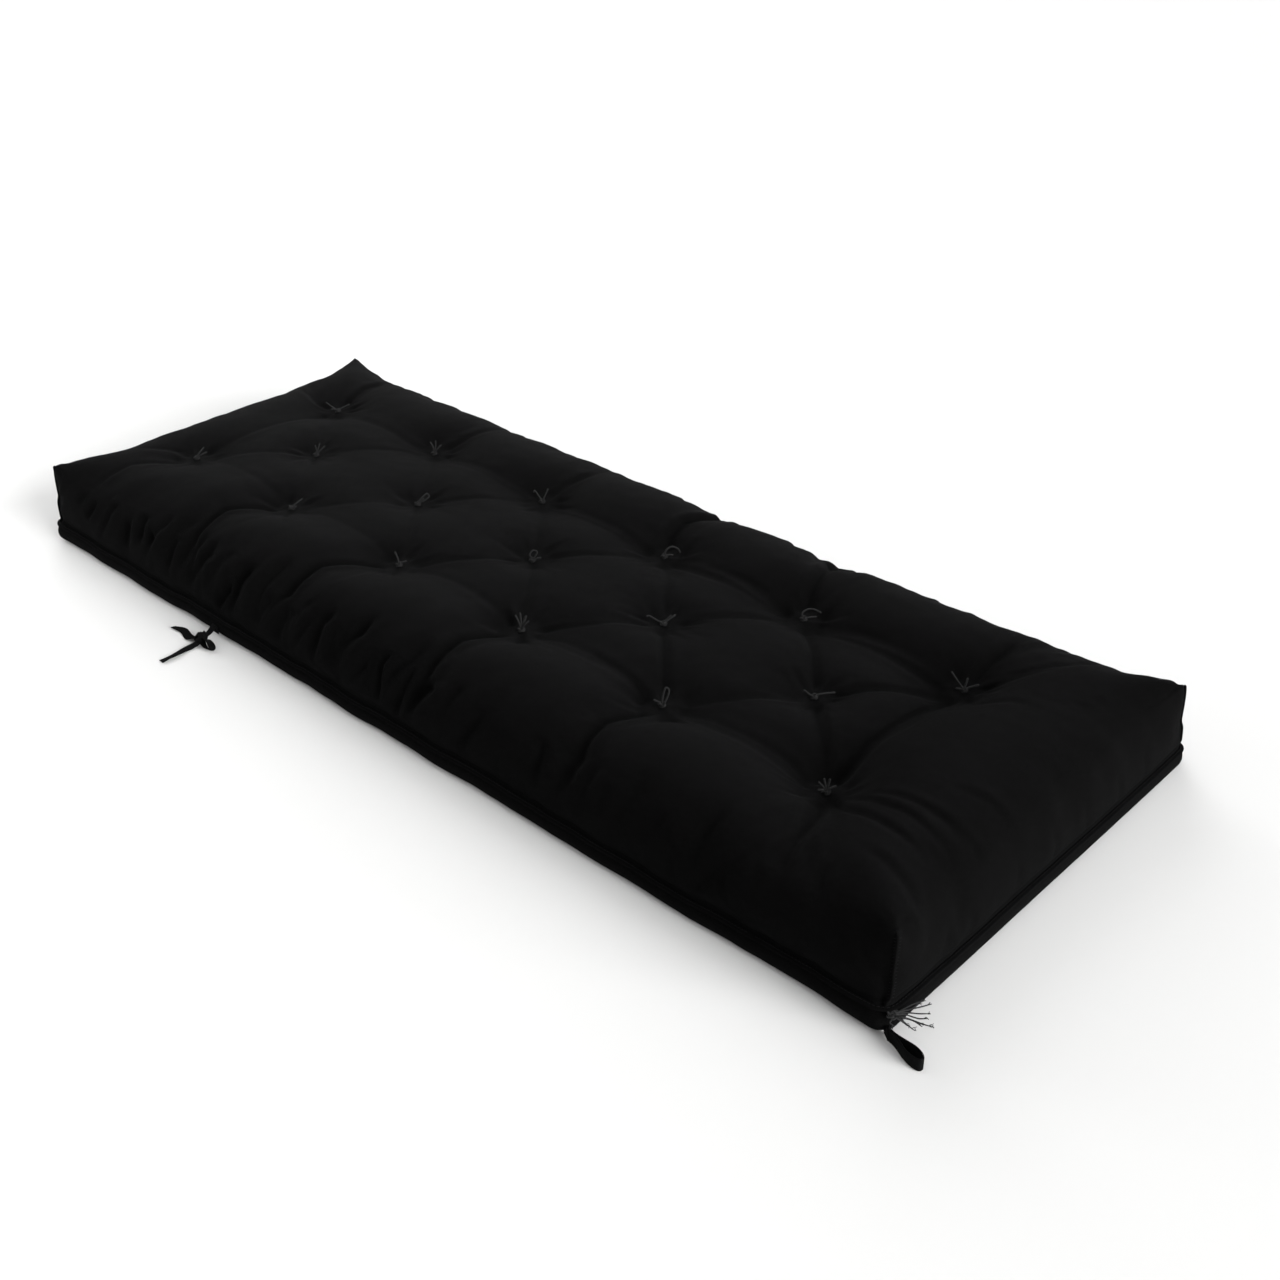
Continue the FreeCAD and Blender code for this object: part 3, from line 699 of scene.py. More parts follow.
# ---------------------------------------------------------------- materials
def material(name, base, spread, rough, weave, thread, bump, sheen, specular=0.15, wear=0.0,
             fuzz=0.0):
    """Woven cotton: a plain weave at its real pitch, slubs, patchy colour and worn raised parts."""
    mat = bpy.data.materials.new(name)
    mat.use_nodes = True
    tree = mat.node_tree

    def feed(socket, value):
        """Links a socket to a value that is a socket, or sets it to a plain one."""
        if isinstance(value, bpy.types.NodeSocket):
            tree.links.new(value, socket)
        else:
            socket.default_value = value

    def node(kind, inputs, **settings):
        new = tree.nodes.new("ShaderNode" + kind)
        for key, value in settings.items():
            setattr(new, key, value)
        for key, value in inputs.items():
            feed(new.inputs[key], value)
        return new.outputs

    def mix(kind, a, b):
        return node("Math", {0: a, 1: b}, operation=kind)[0]

    def total(*terms):
        """The sum of (value, share) pairs."""
        parts = [mix("MULTIPLY", value, share) for value, share in terms]
        out = parts[0]
        for part in parts[1:]:
            out = mix("ADD", out, part)
        return out

    where = node("TexCoord", {})["Object"]
    geometry = node("NewGeometry", {})
    waves = [
        node("TexWave", {"Scale": weave, "Distortion": 1.2, "Detail": 2.0, "Detail Scale": 1.5,
        "Vector": where},
             wave_type="BANDS", bands_direction=direction)["Fac"]
        for direction in "XYZ"
    ]
    # Threads cross in the plane the surface faces, so that no weave shows as contour lines.
    facing = node("SeparateXYZ", {"Vector": geometry["Normal"]})
    cross = total(*[
        (mix("MULTIPLY", facing[axis], facing[axis]), mix("MULTIPLY", waves[one], waves[other]))
        for axis, (one, other) in enumerate(((1, 2), (0, 2), (0, 1)))
    ])
    stretched = node("Mapping", {"Scale": (0.25, 1.0, 1.0), "Vector": where})["Vector"]
    slub = node("TexNoise", {"Scale": thread, "Detail": 3.0, "Roughness": 0.6,
    "Vector": stretched})["Fac"]
    patch = node("TexNoise", {"Scale": 6.0, "Detail": 4.0, "Roughness": 0.55,
    "Vector": where})["Fac"]
    grain = node("TexNoise", {"Scale": 520.0, "Detail": 2.0, "Roughness": 0.7,
    "Vector": where})["Fac"]
    shade = total((patch, 0.45), (slub, 0.3), (grain, 0.25))
    if wear:
        raised = node("MapRange", {"From Min": 0.5, "From Max": 0.62,
        "Value": geometry["Pointiness"]})
        shade = mix("ADD", shade, mix("MULTIPLY", raised["Result"], wear))
    colour = node("ValToRGB", {"Fac": shade})["Color"]
    stops = colour.node.color_ramp.elements
    for stop, place, gain in ((stops[0], 0.32, 1 - spread), (stops[1], 0.72, 1 + spread)):
        stop.position = place
        stop.color = (*[c * gain for c in base], 1)
    uneven = node("MapRange", {"To Min": rough - 0.06, "To Max": min(1.0, rough + 0.06),
    "Value": patch})
    height = total((cross, 0.6), (slub, 0.5), (grain, 0.35 + fuzz))
    looks = {
        "Base Color": colour, "Roughness": uneven["Result"], "Specular IOR Level": specular,
        "Sheen Weight": sheen, "Sheen Roughness": 0.45, "Sheen Tint": (0.75, 0.78, 0.82, 1),
        "Normal": node("Bump", {"Strength": bump, "Distance": 0.0006, "Height": height})["Normal"],
    }
    for key, value in looks.items():
        feed(tree.nodes["Principled BSDF"].inputs[key], value)
    return mat


# Each look is a material and a slot name; only the material is used.
COVER = (material("black_cotton_twill", (0.00155, 0.00155, 0.00155), 0.4, 0.93, 420, 260, 0.8,
                  sheen=0.006, specular=0.02, wear=0.15), "cover_cloth")
TAPE = (material("black_cotton_tape", (0.0026, 0.0026, 0.0027), 0.4, 0.9, 300, 380, 0.8,
                 sheen=0.006, specular=0.03, wear=0.2), "tape")
TWINE = (material("waxed_black_twine", (0.0065, 0.0065, 0.0065), 0.4, 0.65, 900, 600, 0.7,
                  sheen=0.01, specular=0.1, wear=0.1), "tuft_twine")
THREAD = (material("sewing_thread", (0.006, 0.006, 0.0062), 0.4, 0.75, 900, 800, 0.6,
                   sheen=0.01, specular=0.06), "sewing_thread")
FRAYED = (material("frayed_cotton_thread", (0.016, 0.016, 0.0163), 0.8, 0.8, 900, 800, 0.6,
                   sheen=0.02, specular=0.15), "sewing_thread")
FELT = (material("cotton_felt", (0.62, 0.58, 0.5), 0.18, 0.97, 120, 90, 0.9,
                 sheen=0.3, fuzz=0.6), "felt_batt")
FOAM = (material("pale_foam", (0.72, 0.66, 0.46), 0.1, 0.93, 60, 420, 0.8,
                 sheen=0.1, fuzz=0.8), "foam")
PAD = (material("wool_felt_pad", (0.045, 0.044, 0.043), 0.35, 0.95, 200, 300, 0.9,
                sheen=0.2, fuzz=0.5), "tuft_pad")


# ---------------------------------------------------------------- covers
def tuck(points, faces, ring, steps):
    """Turns a sheet's open edge inwards, as a sewn hem is. steps are (inwards, up) offsets."""
    edge = points[ring]
    ahead = np.roll(edge, -1, axis=0) - np.roll(edge, 1, axis=0)
    ahead[:, 2] = 0
    ahead /= np.linalg.norm(ahead, axis=1)[:, None]
    inward = np.stack([-ahead[:, 1], ahead[:, 0], 0 * ahead[:, 0]], 1)
    toward = -edge * [1, 1, 0]
    inward *= np.sign((inward * toward).sum(1))[:, None]
    rows = loops(len(steps), len(ring), len(points))
    new = [edge + inward * inn + np.array([0, 0, up]) for inn, up in steps]
    return np.vstack([points, *new]), [list(f) for f in faces] + walls([ring] + rows)


HEM_STEPS = [(0.002, 0.001), (0.006, 0.0014), (0.01, 0.0016)]
quads = np.array(quads)
top_points, top_faces = pick(fine, quads[group == 0])
hem = open_rings(top_points, top_faces)[0]
piece("cover_top", tuck(top_points, top_faces, hem, HEM_STEPS), COVER, ["top_cover"])

low_points, low_faces = pick(fine, quads[group == 1])
foot_ring, seam_ring = open_rings(low_points, low_faces)


def base_dimple(x, y):
    """How far the underside rises over the nearest tuft's washer."""
    gap = tuft_gaps(x, y).min(axis=1)
    return 0.008 * smooth_step((0.046 - gap) / 0.031) ** 1.5


# The underside: a panel inside the lowest ring, with a dimple over each washer.
fnx, fny = grid["nx"] * 2, grid["ny"] * 2
foot_points = low_points[foot_ring]
corner = int(np.argmin(foot_points[:, 0] + foot_points[:, 1]))
foot_ring = foot_ring[corner:] + foot_ring[:corner]
foot_points = low_points[foot_ring]
if foot_points[5, 0] - foot_points[0, 0] < foot_points[5, 1] - foot_points[0, 1]:
    foot_ring = [foot_ring[0]] + foot_ring[:0:-1]
    foot_points = low_points[foot_ring]
rim = sheet_net(fnx, fny)[1]
number = dict(zip(rim, foot_ring))
inner = []
for j in range(1, fny):
    for i in range(1, fnx):
        number[(i, j)] = len(low_points) + len(inner)
        inner.append((low_points[number[(i, 0)]][0], low_points[number[(0, j)]][1], 0.0012))
inner = np.array(inner)
inner[:, 2] += base_dimple(inner[:, 0], inner[:, 1])
inner[:, 2] += 0.0005 * np.abs(field(inner, (25, 25, 0), 5)) * smooth_step(
    (HALF - 0.04 - np.abs(inner[:, 0])) / 0.02)
panel_faces = [
    (number[(i, j)], number[(i, j + 1)], number[(i + 1, j + 1)], number[(i + 1, j)])
    for j in range(fny) for i in range(fnx)
]
low_points = np.vstack([low_points, inner])
hem = [(inward, -up) for inward, up in HEM_STEPS]
base = tuck(low_points, [*low_faces, *panel_faces], seam_ring, hem)
piece("cover_base", base, COVER, ["bottom_cover"])

# The welt: a narrow folded flange of the same cloth that runs all round on the seam.
seam_points = low_points[seam_ring]
ahead = np.roll(seam_points, -1, axis=0) - np.roll(seam_points, 1, axis=0)
for _ in range(2):
    seam_points = (np.roll(seam_points, 1, axis=0) + seam_points * 2
                   + np.roll(seam_points, -1, axis=0)) / 4
ahead[:, 2] = 0
ahead /= np.linalg.norm(ahead, axis=1)[:, None]
outward = np.stack([ahead[:, 1], -ahead[:, 0], 0 * ahead[:, 0]], 1)
outward *= np.sign((outward * seam_points).sum(1))[:, None]
for _ in range(3):
    outward = np.roll(outward, 1, axis=0) + outward + np.roll(outward, -1, axis=0)
    outward /= np.linalg.norm(outward, axis=1)[:, None]
sway = 0.0006 * field(seam_points, (30, 30, 0), 2)
welt_out = 0.0068
section = [(-0.003, 0.0005), (0.0, 0.0012), (0.35, 0.0011), (0.7, 0.0013), (0.93, 0.0012),
           (1.0, 0.0004),
           (1.0, -0.0006), (0.9, -0.0013), (0.5, -0.0011), (0.2, -0.0012), (-0.003, -0.0006)]
points = []
for p, o, s in zip(seam_points, outward, sway):
    for reach_, up in section:
        far = max(reach_, 0)
        r = far * welt_out if far else reach_
        points.append(p + o * (r + s * 0.5) + np.array([0, 0, up + s * far - 0.0008 * far]))
rings = loops(len(seam_points), len(section))
piece("edge_welt_cloth", (points, walls(rings + rings[:1])), COVER, ["edge_welt"])

# Stitches of the welt, one every 5 mm, on its upper face.
total = np.concatenate([[0], np.cumsum(np.linalg.norm(np.diff(seam_points, axis=0), axis=1))])
marks = np.arange(0.004, total[-1] - 0.004, 0.0055)
parts = []
for d in marks:
    n = int(np.searchsorted(total, d)) - 1
    t = (d - total[n]) / (total[n + 1] - total[n])
    p = seam_points[n] * (1 - t) + seam_points[n + 1] * t
    run = seam_points[n + 1] - seam_points[n]
    run /= np.linalg.norm(run)
    middle = p + outward[n] * 0.0022 + np.array([0, 0, 0.00115])
    stitch = [middle + run * along_ + [0, 0, up] for along_, up in
              ((-0.0017, 0), (-0.0008, 0.0004), (0.0008, 0.0004), (0.0017, 0))]
    parts.append(tube(stitch, 0.00035, sides=5))
piece("welt_stitches", joined(parts), THREAD)


# ---------------------------------------------------------------- corner seams
def corner_column(x_sign, y_sign):
    """The cover's points down one corner, from its top edge to the seam."""
    gap = np.hypot(flat_fine[:, 0] - x_sign * HALF, flat_fine[:, 1] - y_sign * EDGE)
    found = np.nonzero((gap < 1e-4) & (flat_fine[:, 2] >= SEAM - 0.003))[0]
    return fine[found[np.argsort(-flat_fine[found, 2])]]


CORNERS = {"front_right": (1, -1), "back_right": (1, 1), "back_left": (-1, 1),
           "front_left": (-1, -1)}
for label, (sx, sy) in CORNERS.items():
    line = corner_column(sx, sy)
    outward_ = np.array([sx, sy, 0]) / math.sqrt(2)
    path = curve(line + outward_ * 0.0012, 44)
    ridge = tube(path, 0.0021 * np.minimum(1, np.linspace(0.4, 12, 44)), sides=10)
    stitches = []
    for n in range(3, 42, 2):
        for hand in (1, -1):
            sideways = np.array([-sy * hand, sx * hand, 0]) / math.sqrt(2)
            a = path[n] + outward_ * 0.0004 + sideways * 0.002
            b = path[n] - outward_ * 0.0006 + sideways * 0.004 + np.array([0, 0, -0.0008])
            stitches.append(tube([a, (a + b) / 2 + outward_ * 0.0004, b], STITCH, sides=5))
    piece(f"corner_ridge_{label}", ridge, COVER, [f"corner_seam_{label}"])
    piece(f"corner_stitches_{label}", joined(stitches), THREAD)


# ---------------------------------------------------------------- filling
CELL = 0.006
REACH_X, REACH_Y = 0.99, 0.42  # how far the plan grid reaches from the middle
CELLS_X, CELLS_Y = int(2 * REACH_X / CELL), int(2 * REACH_Y / CELL)


def roof_map():
    """The lowest height of the cover's upper part over each cell of a plan grid."""
    upper = fine[flat_fine[:, 2] > CLOTH_TOP * 0.55]
    roof = np.full((CELLS_X, CELLS_Y), 9.0)
    i = np.clip(((upper[:, 0] + REACH_X) / CELL).astype(int), 0, CELLS_X - 1)
    j = np.clip(((upper[:, 1] + REACH_Y) / CELL).astype(int), 0, CELLS_Y - 1)
    np.minimum.at(roof, (i, j), upper[:, 2])
    for combine in (np.min, np.min, np.mean, np.mean):
        wide = np.pad(roof, 1, mode="edge")
        around = [wide[a:a + CELLS_X, b:b + CELLS_Y] for a in range(3) for b in range(3)]
        roof = combine(around, axis=0)
    return roof


ROOF = roof_map()
FILL_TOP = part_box("upper_felt_batt_3")[1].z
FILL_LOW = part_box("lower_felt_batt_1")[0].z


def settle(points):
    """Filling points moved from the CAD's level layers into the tufted cover."""
    i = (points[:, 0] + REACH_X) / CELL - 0.5
    j = (points[:, 1] + REACH_Y) / CELL - 0.5
    i0 = np.clip(i.astype(int), 0, CELLS_X - 2)
    j0 = np.clip(j.astype(int), 0, CELLS_Y - 2)
    s_, t_ = np.clip(i - i0, 0, 1), np.clip(j - j0, 0, 1)
    roof = (ROOF[i0, j0] * (1 - s_) * (1 - t_) + ROOF[i0 + 1, j0] * s_ * (1 - t_)
            + ROOF[i0, j0 + 1] * (1 - s_) * t_ + ROOF[i0 + 1, j0 + 1] * s_ * t_)
    base_ = 0.0028 + base_dimple(points[:, 0], points[:, 1])
    share = (points[:, 2] - FILL_LOW) / (FILL_TOP - FILL_LOW)
    out = points.copy()
    out[:, 2] = base_ + share * (np.minimum(roof, 0.2) - 0.0045 - base_)
    return out


SIDE_GAP = 0.03


def layer(name, node, look, seed):
    """One layer of the filling: a closed pad whose faces follow the tufted cover."""
    low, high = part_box(node)
    nx, ny = 200, 76
    wide, deep = (high.x - low.x) / 2 - SIDE_GAP, (high.y - low.y) / 2 - SIDE_GAP
    thick = high.z - low.z

    def surface(z, inset):
        gx, gy = np.meshgrid(np.linspace(-1, 1, nx + 1) * (wide - inset),
        np.linspace(-1, 1, ny + 1) * (deep - inset))
        out = settle(np.stack([gx.ravel(), gy.ravel(), np.full(gx.size, z)], 1))
        out[:, :2] += 0.0012 * field(out * [1, 1, 0], (9, 9, 0), seed)[:, None]
        return out

    under, over = surface(low.z + 0.0004, 0.005), surface(high.z - 0.0004, 0.005)
    net, _, rim = sheet_net(nx, ny)
    belts = [surface(low.z + thick * up, inset)[rim] for up,
             inset in ((0.2, 0.0012), (0.5, 0.0), (0.8, 0.0012))]
    size = len(under)
    faces = [(a, d, c, b) for a, b, c, d in net] + [[size + n for n in face] for face in net]
    faces += walls([rim, *loops(3, len(rim), 2 * size), [size + n for n in rim]])
    piece(name, (np.concatenate([under, over, *belts]), faces), look, [node])


for n in (1, 2):
    layer(f"felt_lower_{n}", f"lower_felt_batt_{n}", FELT, n)
for n in (1, 2, 3):
    layer(f"felt_upper_{n}", f"upper_felt_batt_{n}", FELT, 10 + n)
layer("foam_slab", "foam_core", FOAM, 21)

low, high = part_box("foam_edge_strip")
core_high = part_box("foam_core")[1]
ring_count = 640


def round_box(wx, wy, count):
    """Points round a rectangle with small round corners."""
    out = []
    for a in np.linspace(0, math.tau, count, endpoint=False):
        c, s_ = math.cos(a), math.sin(a)
        k = (abs(c) ** 24 + abs(s_) ** 24) ** (-1 / 24)
        out.append((c * k * wx, s_ * k * wy))
    return np.array(out)


outer = round_box(high.x - SIDE_GAP, high.y - SIDE_GAP, ring_count)
inner_ring = round_box(core_high.x - SIDE_GAP + 0.003, core_high.y - SIDE_GAP + 0.003, ring_count)
levels = [(inner_ring, low.z + 0.002), (inner_ring * 0.5 + outer * 0.5, low.z + 0.0008),
          (outer * 0.985 + inner_ring * 0.015, low.z + 0.0015), (outer, low.z + 0.008),
          (outer * 1.001, (low.z + high.z) / 2), (outer, high.z - 0.008),
          (outer * 0.985 + inner_ring * 0.015, high.z - 0.0015),
          (inner_ring * 0.5 + outer * 0.5, high.z - 0.0008),
          (inner_ring, high.z - 0.002)]
points = settle(np.concatenate([np.column_stack([p, np.full(len(p), z)]) for p, z in levels]))
rings = loops(len(levels), ring_count)
piece("foam_border", (points, walls(rings + rings[:1])), FOAM, ["foam_edge_strip"])


# ---------------------------------------------------------------- tufts
def puck(centre, radius, thick, seed):
    """A soft round felt pad, pressed in where the twine crosses it."""
    draw = np.random.default_rng(seed)
    rings_ = [(0.25, 0.5), (0.6, 0.52), (0.86, 0.47), (0.97, 0.25), (1.0, 0.0), (0.97, -0.25),
              (0.86, -0.47),
              (0.6, -0.5), (0.25, -0.48)]
    count_ = 40
    points_ = []
    wob = 1 + 0.02 * np.array([math.sin(3 * math.tau * k / count_ + seed) for k in range(count_)])
    for r, h in rings_:
        for k in range(count_):
            a = math.tau * k / count_
            x_, y_ = math.cos(a) * radius * r * wob[k], math.sin(a) * radius * r * wob[k]
            press = 0.22 * math.exp(-((y_ / 0.002) ** 2)) if h < 0 else 0.1 * math.exp(-(r
            / 0.4) ** 2)
            points_.append((x_, y_, thick
                            * (h - math.copysign(press, h) + draw.uniform(-0.02, 0.02))))
    faces_ = walls(loops(len(rings_), count_), flip=True)
    top_, low_ = len(points_), len(points_) + 1
    points_ += [(0, 0, thick * 0.38), (0, 0, -thick * 0.28)]
    last_ = (len(rings_) - 1) * count_
    for k in range(count_):
        q = (k + 1) % count_
        faces_.append([top_, k, q])
        faces_.append([low_, last_ + q, last_ + k])
    return np.array(points_) + centre, faces_


wash_low, wash_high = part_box("tuft_washers")
wash_z = (wash_low.z + wash_high.z) / 2
pads = [puck(np.array([x, y, wash_z]), 0.012, wash_high.z - wash_low.z, n) for n,
        (x, y) in enumerate(TUFTS)]
piece("tuft_pads", joined(pads), PAD, ["tuft_washers"])

camera_right = np.array([math.cos(PHOTO_AZIMUTH), math.sin(PHOTO_AZIMUTH), 0])
camera_away = np.array([-math.sin(PHOTO_AZIMUTH), math.cos(PHOTO_AZIMUTH), 0])


def strand(start, offsets, radius):
    """One end of twine: offsets are (right, away, up) from the knot, in millimetres."""
    pts = [start]
    for r, a, u in offsets:
        pts.append(start + (camera_right * r + camera_away * a + np.array([0, 0, u])) / 1000)
    path = curve(pts, 7 * len(pts))
    radii = np.full(len(path), radius)
    radii[-4:] *= np.array([1.05, 1.15, 1.1, 0.6])
    return tube(path, radii, sides=7, flat=0.8)


# Each tuft's twine ends, as (right, away, up) steps in millimetres from the knot.
STRANDS = [
    [[(5, 2, 8), (14, 8, 17)], [(8, 1, 5), (19, 5, 9)]],
    [[(-10, 3, 6), (-23, 9, 14)], [(-5, -2, 4), (-12, -5, 5)], [(9, 3, 5), (23, 8, 9)]],
    [[(4, 3, 9), (8, 8, 19)], [(8, 2, 7), (17, 7, 14)], [(2, 1, 9), (0, 4, 17)]],
    [[(7, 2, 6), (19, 8, 13)], [(4, -2, 3), (10, -4, 4)]],
    [[(-1, 3, 10), (-6, 6, 20)], [(3, 3, 10), (4, 7, 22)], [(6, 1, 7), (14, 4, 14)]],
    [[(6, 3, 8), (16, 8, 15), (20, 7, 10), (12, 2, 5), (4, 0, 3)], [(5, 0, 4), (12, 2, 9)]],
    [[(-1, 2, 10), (-5, 5, 21)], [(5, 0, 4), (13, 0, 6)]],
    [[(-5, 3, 8), (-12, 6, 18), (-15, 6, 15)], [(5, 3, 9), (11, 7, 21)]],
    [[(5, 2, 6), (8, 5, 12), (1, 6, 14), (-4, 3, 8), (-1, 1, 3)], [(7, -1, 3), (14, 0, 4)]],
    [[(-3, 3, 11), (-8, 6, 22)], [(0, 4, 12), (-1, 8, 25)], [(3, 3, 10), (8, 6, 20), (5, 3, 8)],
     [(5, 0, 8), (12, 2, 14)]],
    [[(3, 3, 9), (12, 6, 14), (22, 5, 11), (26, 2, 5)], [(6, -1, 3), (14, -2, 3)]],
    [[(-9, 2, 4), (-21, 6, 10), (-25, 6, 9)], [(7, 1, 5), (19, 5, 12)], [(4, 3, 3), (13, 9, 9)]],
    [[(-5, 1, 4), (-12, 2, 7)], [(1, 3, 11), (5, 6, 24), (10, 5, 21), (7, 2, 10), (3, 0, 3)]],
    [[(-2, 3, 8), (6, 6, 13), (17, 5, 13), (27, 3, 8)], [(8, -1, 3), (20, -1, 4)]],
    [[(-7, 1, 4), (-13, 4, 8), (-14, 5, 6)], [(8, 0, 4), (21, 1, 5), (30, 2, 5)]],
    [[(-4, 1, 7), (-10, 3, 13)], [(-1, 2, 9), (-3, 4, 18)], [(3, 2, 9), (5, 4, 17)],
     [(6, 0, 5), (13, 1, 8)], [(-5, -1, 3), (-11, -2, 4)]],
    [[(-6, 2, 9), (-14, 6, 20), (-18, 8, 26)], [(9, 1, 4), (22, 3, 6)], [(-6, -1, 3), (-12, -2, 4)],
     [(3, 3, 7), (6, 8, 15)]],
]


def knot(centre, radius, twine, seed):
    """A reef knot's body: two interlocked turns."""
    draw = np.random.default_rng(seed)
    spin = draw.uniform(0, math.tau)
    path = []
    for k in range(64):
        a = math.tau * k / 64
        r = radius * (1 + 0.28 * math.cos(3 * a))
        p = np.array([math.cos(2 * a) * r, math.sin(2 * a) * r, 0.55 * radius * math.sin(3 * a)])
        c, s = math.cos(spin), math.sin(spin)
        path.append(centre + np.array([p[0] * c - p[1] * s, p[0] * s + p[1] * c, p[2]]))
    path.append(path[0])
    return tube(path, twine, sides=7)


TWINE_RADIUS = 0.0015
top_index = np.nonzero(flat_fine[:, 2] > CLOTH_TOP - 0.001)[0]
for n, name in enumerate(TUFT_NAMES):
    x, y = TUFTS[n]
    around = top_index[np.hypot(fine[top_index, 0] - x, fine[top_index, 1] - y) < 0.01]
    floor_z = float(np.median(fine[around, 2])) if len(around) else TUFT_Z[n]
    centre = np.array([x, y, floor_z + 0.003])
    parts = [knot(centre, 0.0037, TWINE_RADIUS, n)]
    for offsets in STRANDS[n]:
        parts.append(strand(centre, offsets, TWINE_RADIUS))
    for hand in (-1, 1):
        leg = [centre + [0.0018 * hand, 0, 0], [x + 0.003 * hand, y, floor_z - 0.004],
               [x + 0.003 * hand, y, 0.05], [x + 0.003 * hand, y, wash_low.z + 0.0008],
               [x, y, wash_low.z - 0.0003]]
        parts.append(tube(np.array(leg, float), TWINE_RADIUS * 0.85, sides=6, up=(0, 1, 0.1)))
    piece(f"tuft_knot_{n + 1:02d}", joined(parts), TWINE, [name])


# ---------------------------------------------------------------- tie on the front edge
def front_point(x, z):
    """The cover's surface on its front side, at a place along it and a height."""
    return fine[np.argmin(np.hypot(fine[:, 0] - x, fine[:, 2] - z) + 10 * (fine[:, 1] > -0.3))]


root_low, root_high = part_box("front_tie_root")
tie_x = (root_low.x + root_high.x) / 2
tape = root_high.x - root_low.x
patch_z = np.linspace(root_low.z, 0.0235, 10)
patch = np.array([[tie_x, front_point(tie_x, z)[1] - 0.0016, z] for z in patch_z])
patch[:, 1] = np.minimum(patch[:, 1], -0.3705)
parts = [ribbon(patch, tape, 0.0016, (0, -1, 0))]
stitches = []
for k in range(5):
    for z in (0.0105, 0.0195):
        x = tie_x - 0.0055 + 0.00275 * k
        y = patch[np.argmin(abs(patch[:, 2] - z)), 1] - 0.001
        stitches.append(tube([(x - 0.0009, y, z), (x, y - 0.0003, z), (x + 0.0009, y, z)], 0.0003,
        sides=5))
for end in (-1, 1):
    for k in range(3):
        z = 0.0122 + 0.0025 * k
        x = tie_x + end * 0.0057
        y = patch[np.argmin(abs(patch[:, 2] - z)), 1] - 0.001
        stitches.append(tube([(x, y, z - 0.0008), (x, y - 0.0003, z), (x, y, z + 0.0008)], 0.0003,
        sides=5))
piece("front_tie_patch", joined(parts), TAPE, ["front_tie_root"])
piece("front_tie_stitches", joined(stitches), THREAD)

# The tape leaves its root, drops to the floor and is tied in a half bow there.
y0 = float(patch[-1, 1])
knot_at = np.array([tie_x, -0.3995, 0.0112])
drop = curve([(tie_x, y0 - 0.0014, 0.0235), (tie_x, y0 - 0.0045, 0.0205),
              (tie_x - 0.0005, y0 - 0.012, 0.0145),
              (tie_x, -0.392, 0.0118), knot_at], 26)
parts_a = [ribbon(drop, np.linspace(tape, tape * 0.75, 26), 0.0014, (0, -0.7, 0.7))]
wrap = []
for k in range(41):
    a = math.tau * 1.15 * k / 40
    wrap.append(knot_at + np.array([0.0062 * math.cos(a),
    0.0082 * math.sin(a) - 0.0045 + 0.006 * k / 40,
                                    0.0062 * math.sin(a + 0.7) + 0.0012]))
wrap = np.array(wrap)
parts_a.append(ribbon(wrap, 0.0115, 0.0015, wrap - wrap.mean(axis=0)))
cross = np.array([knot_at + np.array([0.0088 * math.cos(a), 0.004 * math.sin(2 * a),
        0.0068 * math.sin(a) + 0.001])
                  for a in np.linspace(0.2, math.tau * 0.95, 36)])
parts_a.append(ribbon(cross, 0.011, 0.0015, cross - knot_at))
tail = curve([knot_at + [0.001, -0.002, -0.001], (tie_x + 0.001, -0.412, 0.0052),
              (tie_x - 0.002, -0.432, 0.0022),
              (tie_x + 0.0015, -0.455, 0.0034), (tie_x - 0.001, -0.4775, 0.0014)], 40)
parts_a.append(ribbon(tail, np.linspace(tape * 0.72, tape * 1.0, 40), 0.0013,
                      np.array([[0.25 * math.sin(k / 7), 0, 1] for k in range(40)])))
tie_a = piece("front_tie_tail", joined(parts_a), TAPE, ["front_tie_tape_a"], "front_tie")

loop = curve([knot_at + [0.002, 0, 0.001], (tie_x + 0.012, -0.3975, 0.0125),
              (tie_x + 0.027, -0.4005, 0.0135),
              (tie_x + 0.0375, -0.404, 0.0085), (tie_x + 0.028, -0.4065, 0.0035),
              (tie_x + 0.012, -0.404, 0.003),
              knot_at + [0.001, -0.001, -0.003]], 46)
loop_up = loop - np.array([tie_x + 0.018, -0.401, 0.0078])
parts_b = [ribbon(loop, 0.013, 0.0013, loop_up)]
left_tail = curve([knot_at + [-0.002, 0, -0.001], (tie_x - 0.014, -0.402, 0.0062),
        (tie_x - 0.032, -0.4045, 0.0022),
                   (tie_x - 0.055, -0.4, 0.0036), (tie_x - 0.0815, -0.4035, 0.0015)], 44)
parts_b.append(ribbon(left_tail, np.concatenate([np.linspace(0.0105, 0.015, 20),
        np.linspace(0.015, 0.0105, 24)]), 0.0013,
                      np.array([[0, 0.35 * math.sin(k / 6), 1] for k in range(44)])))
tie_b = piece("front_tie_bow", joined(parts_b), TAPE, ["front_tie_tape_b"], "front_tie")


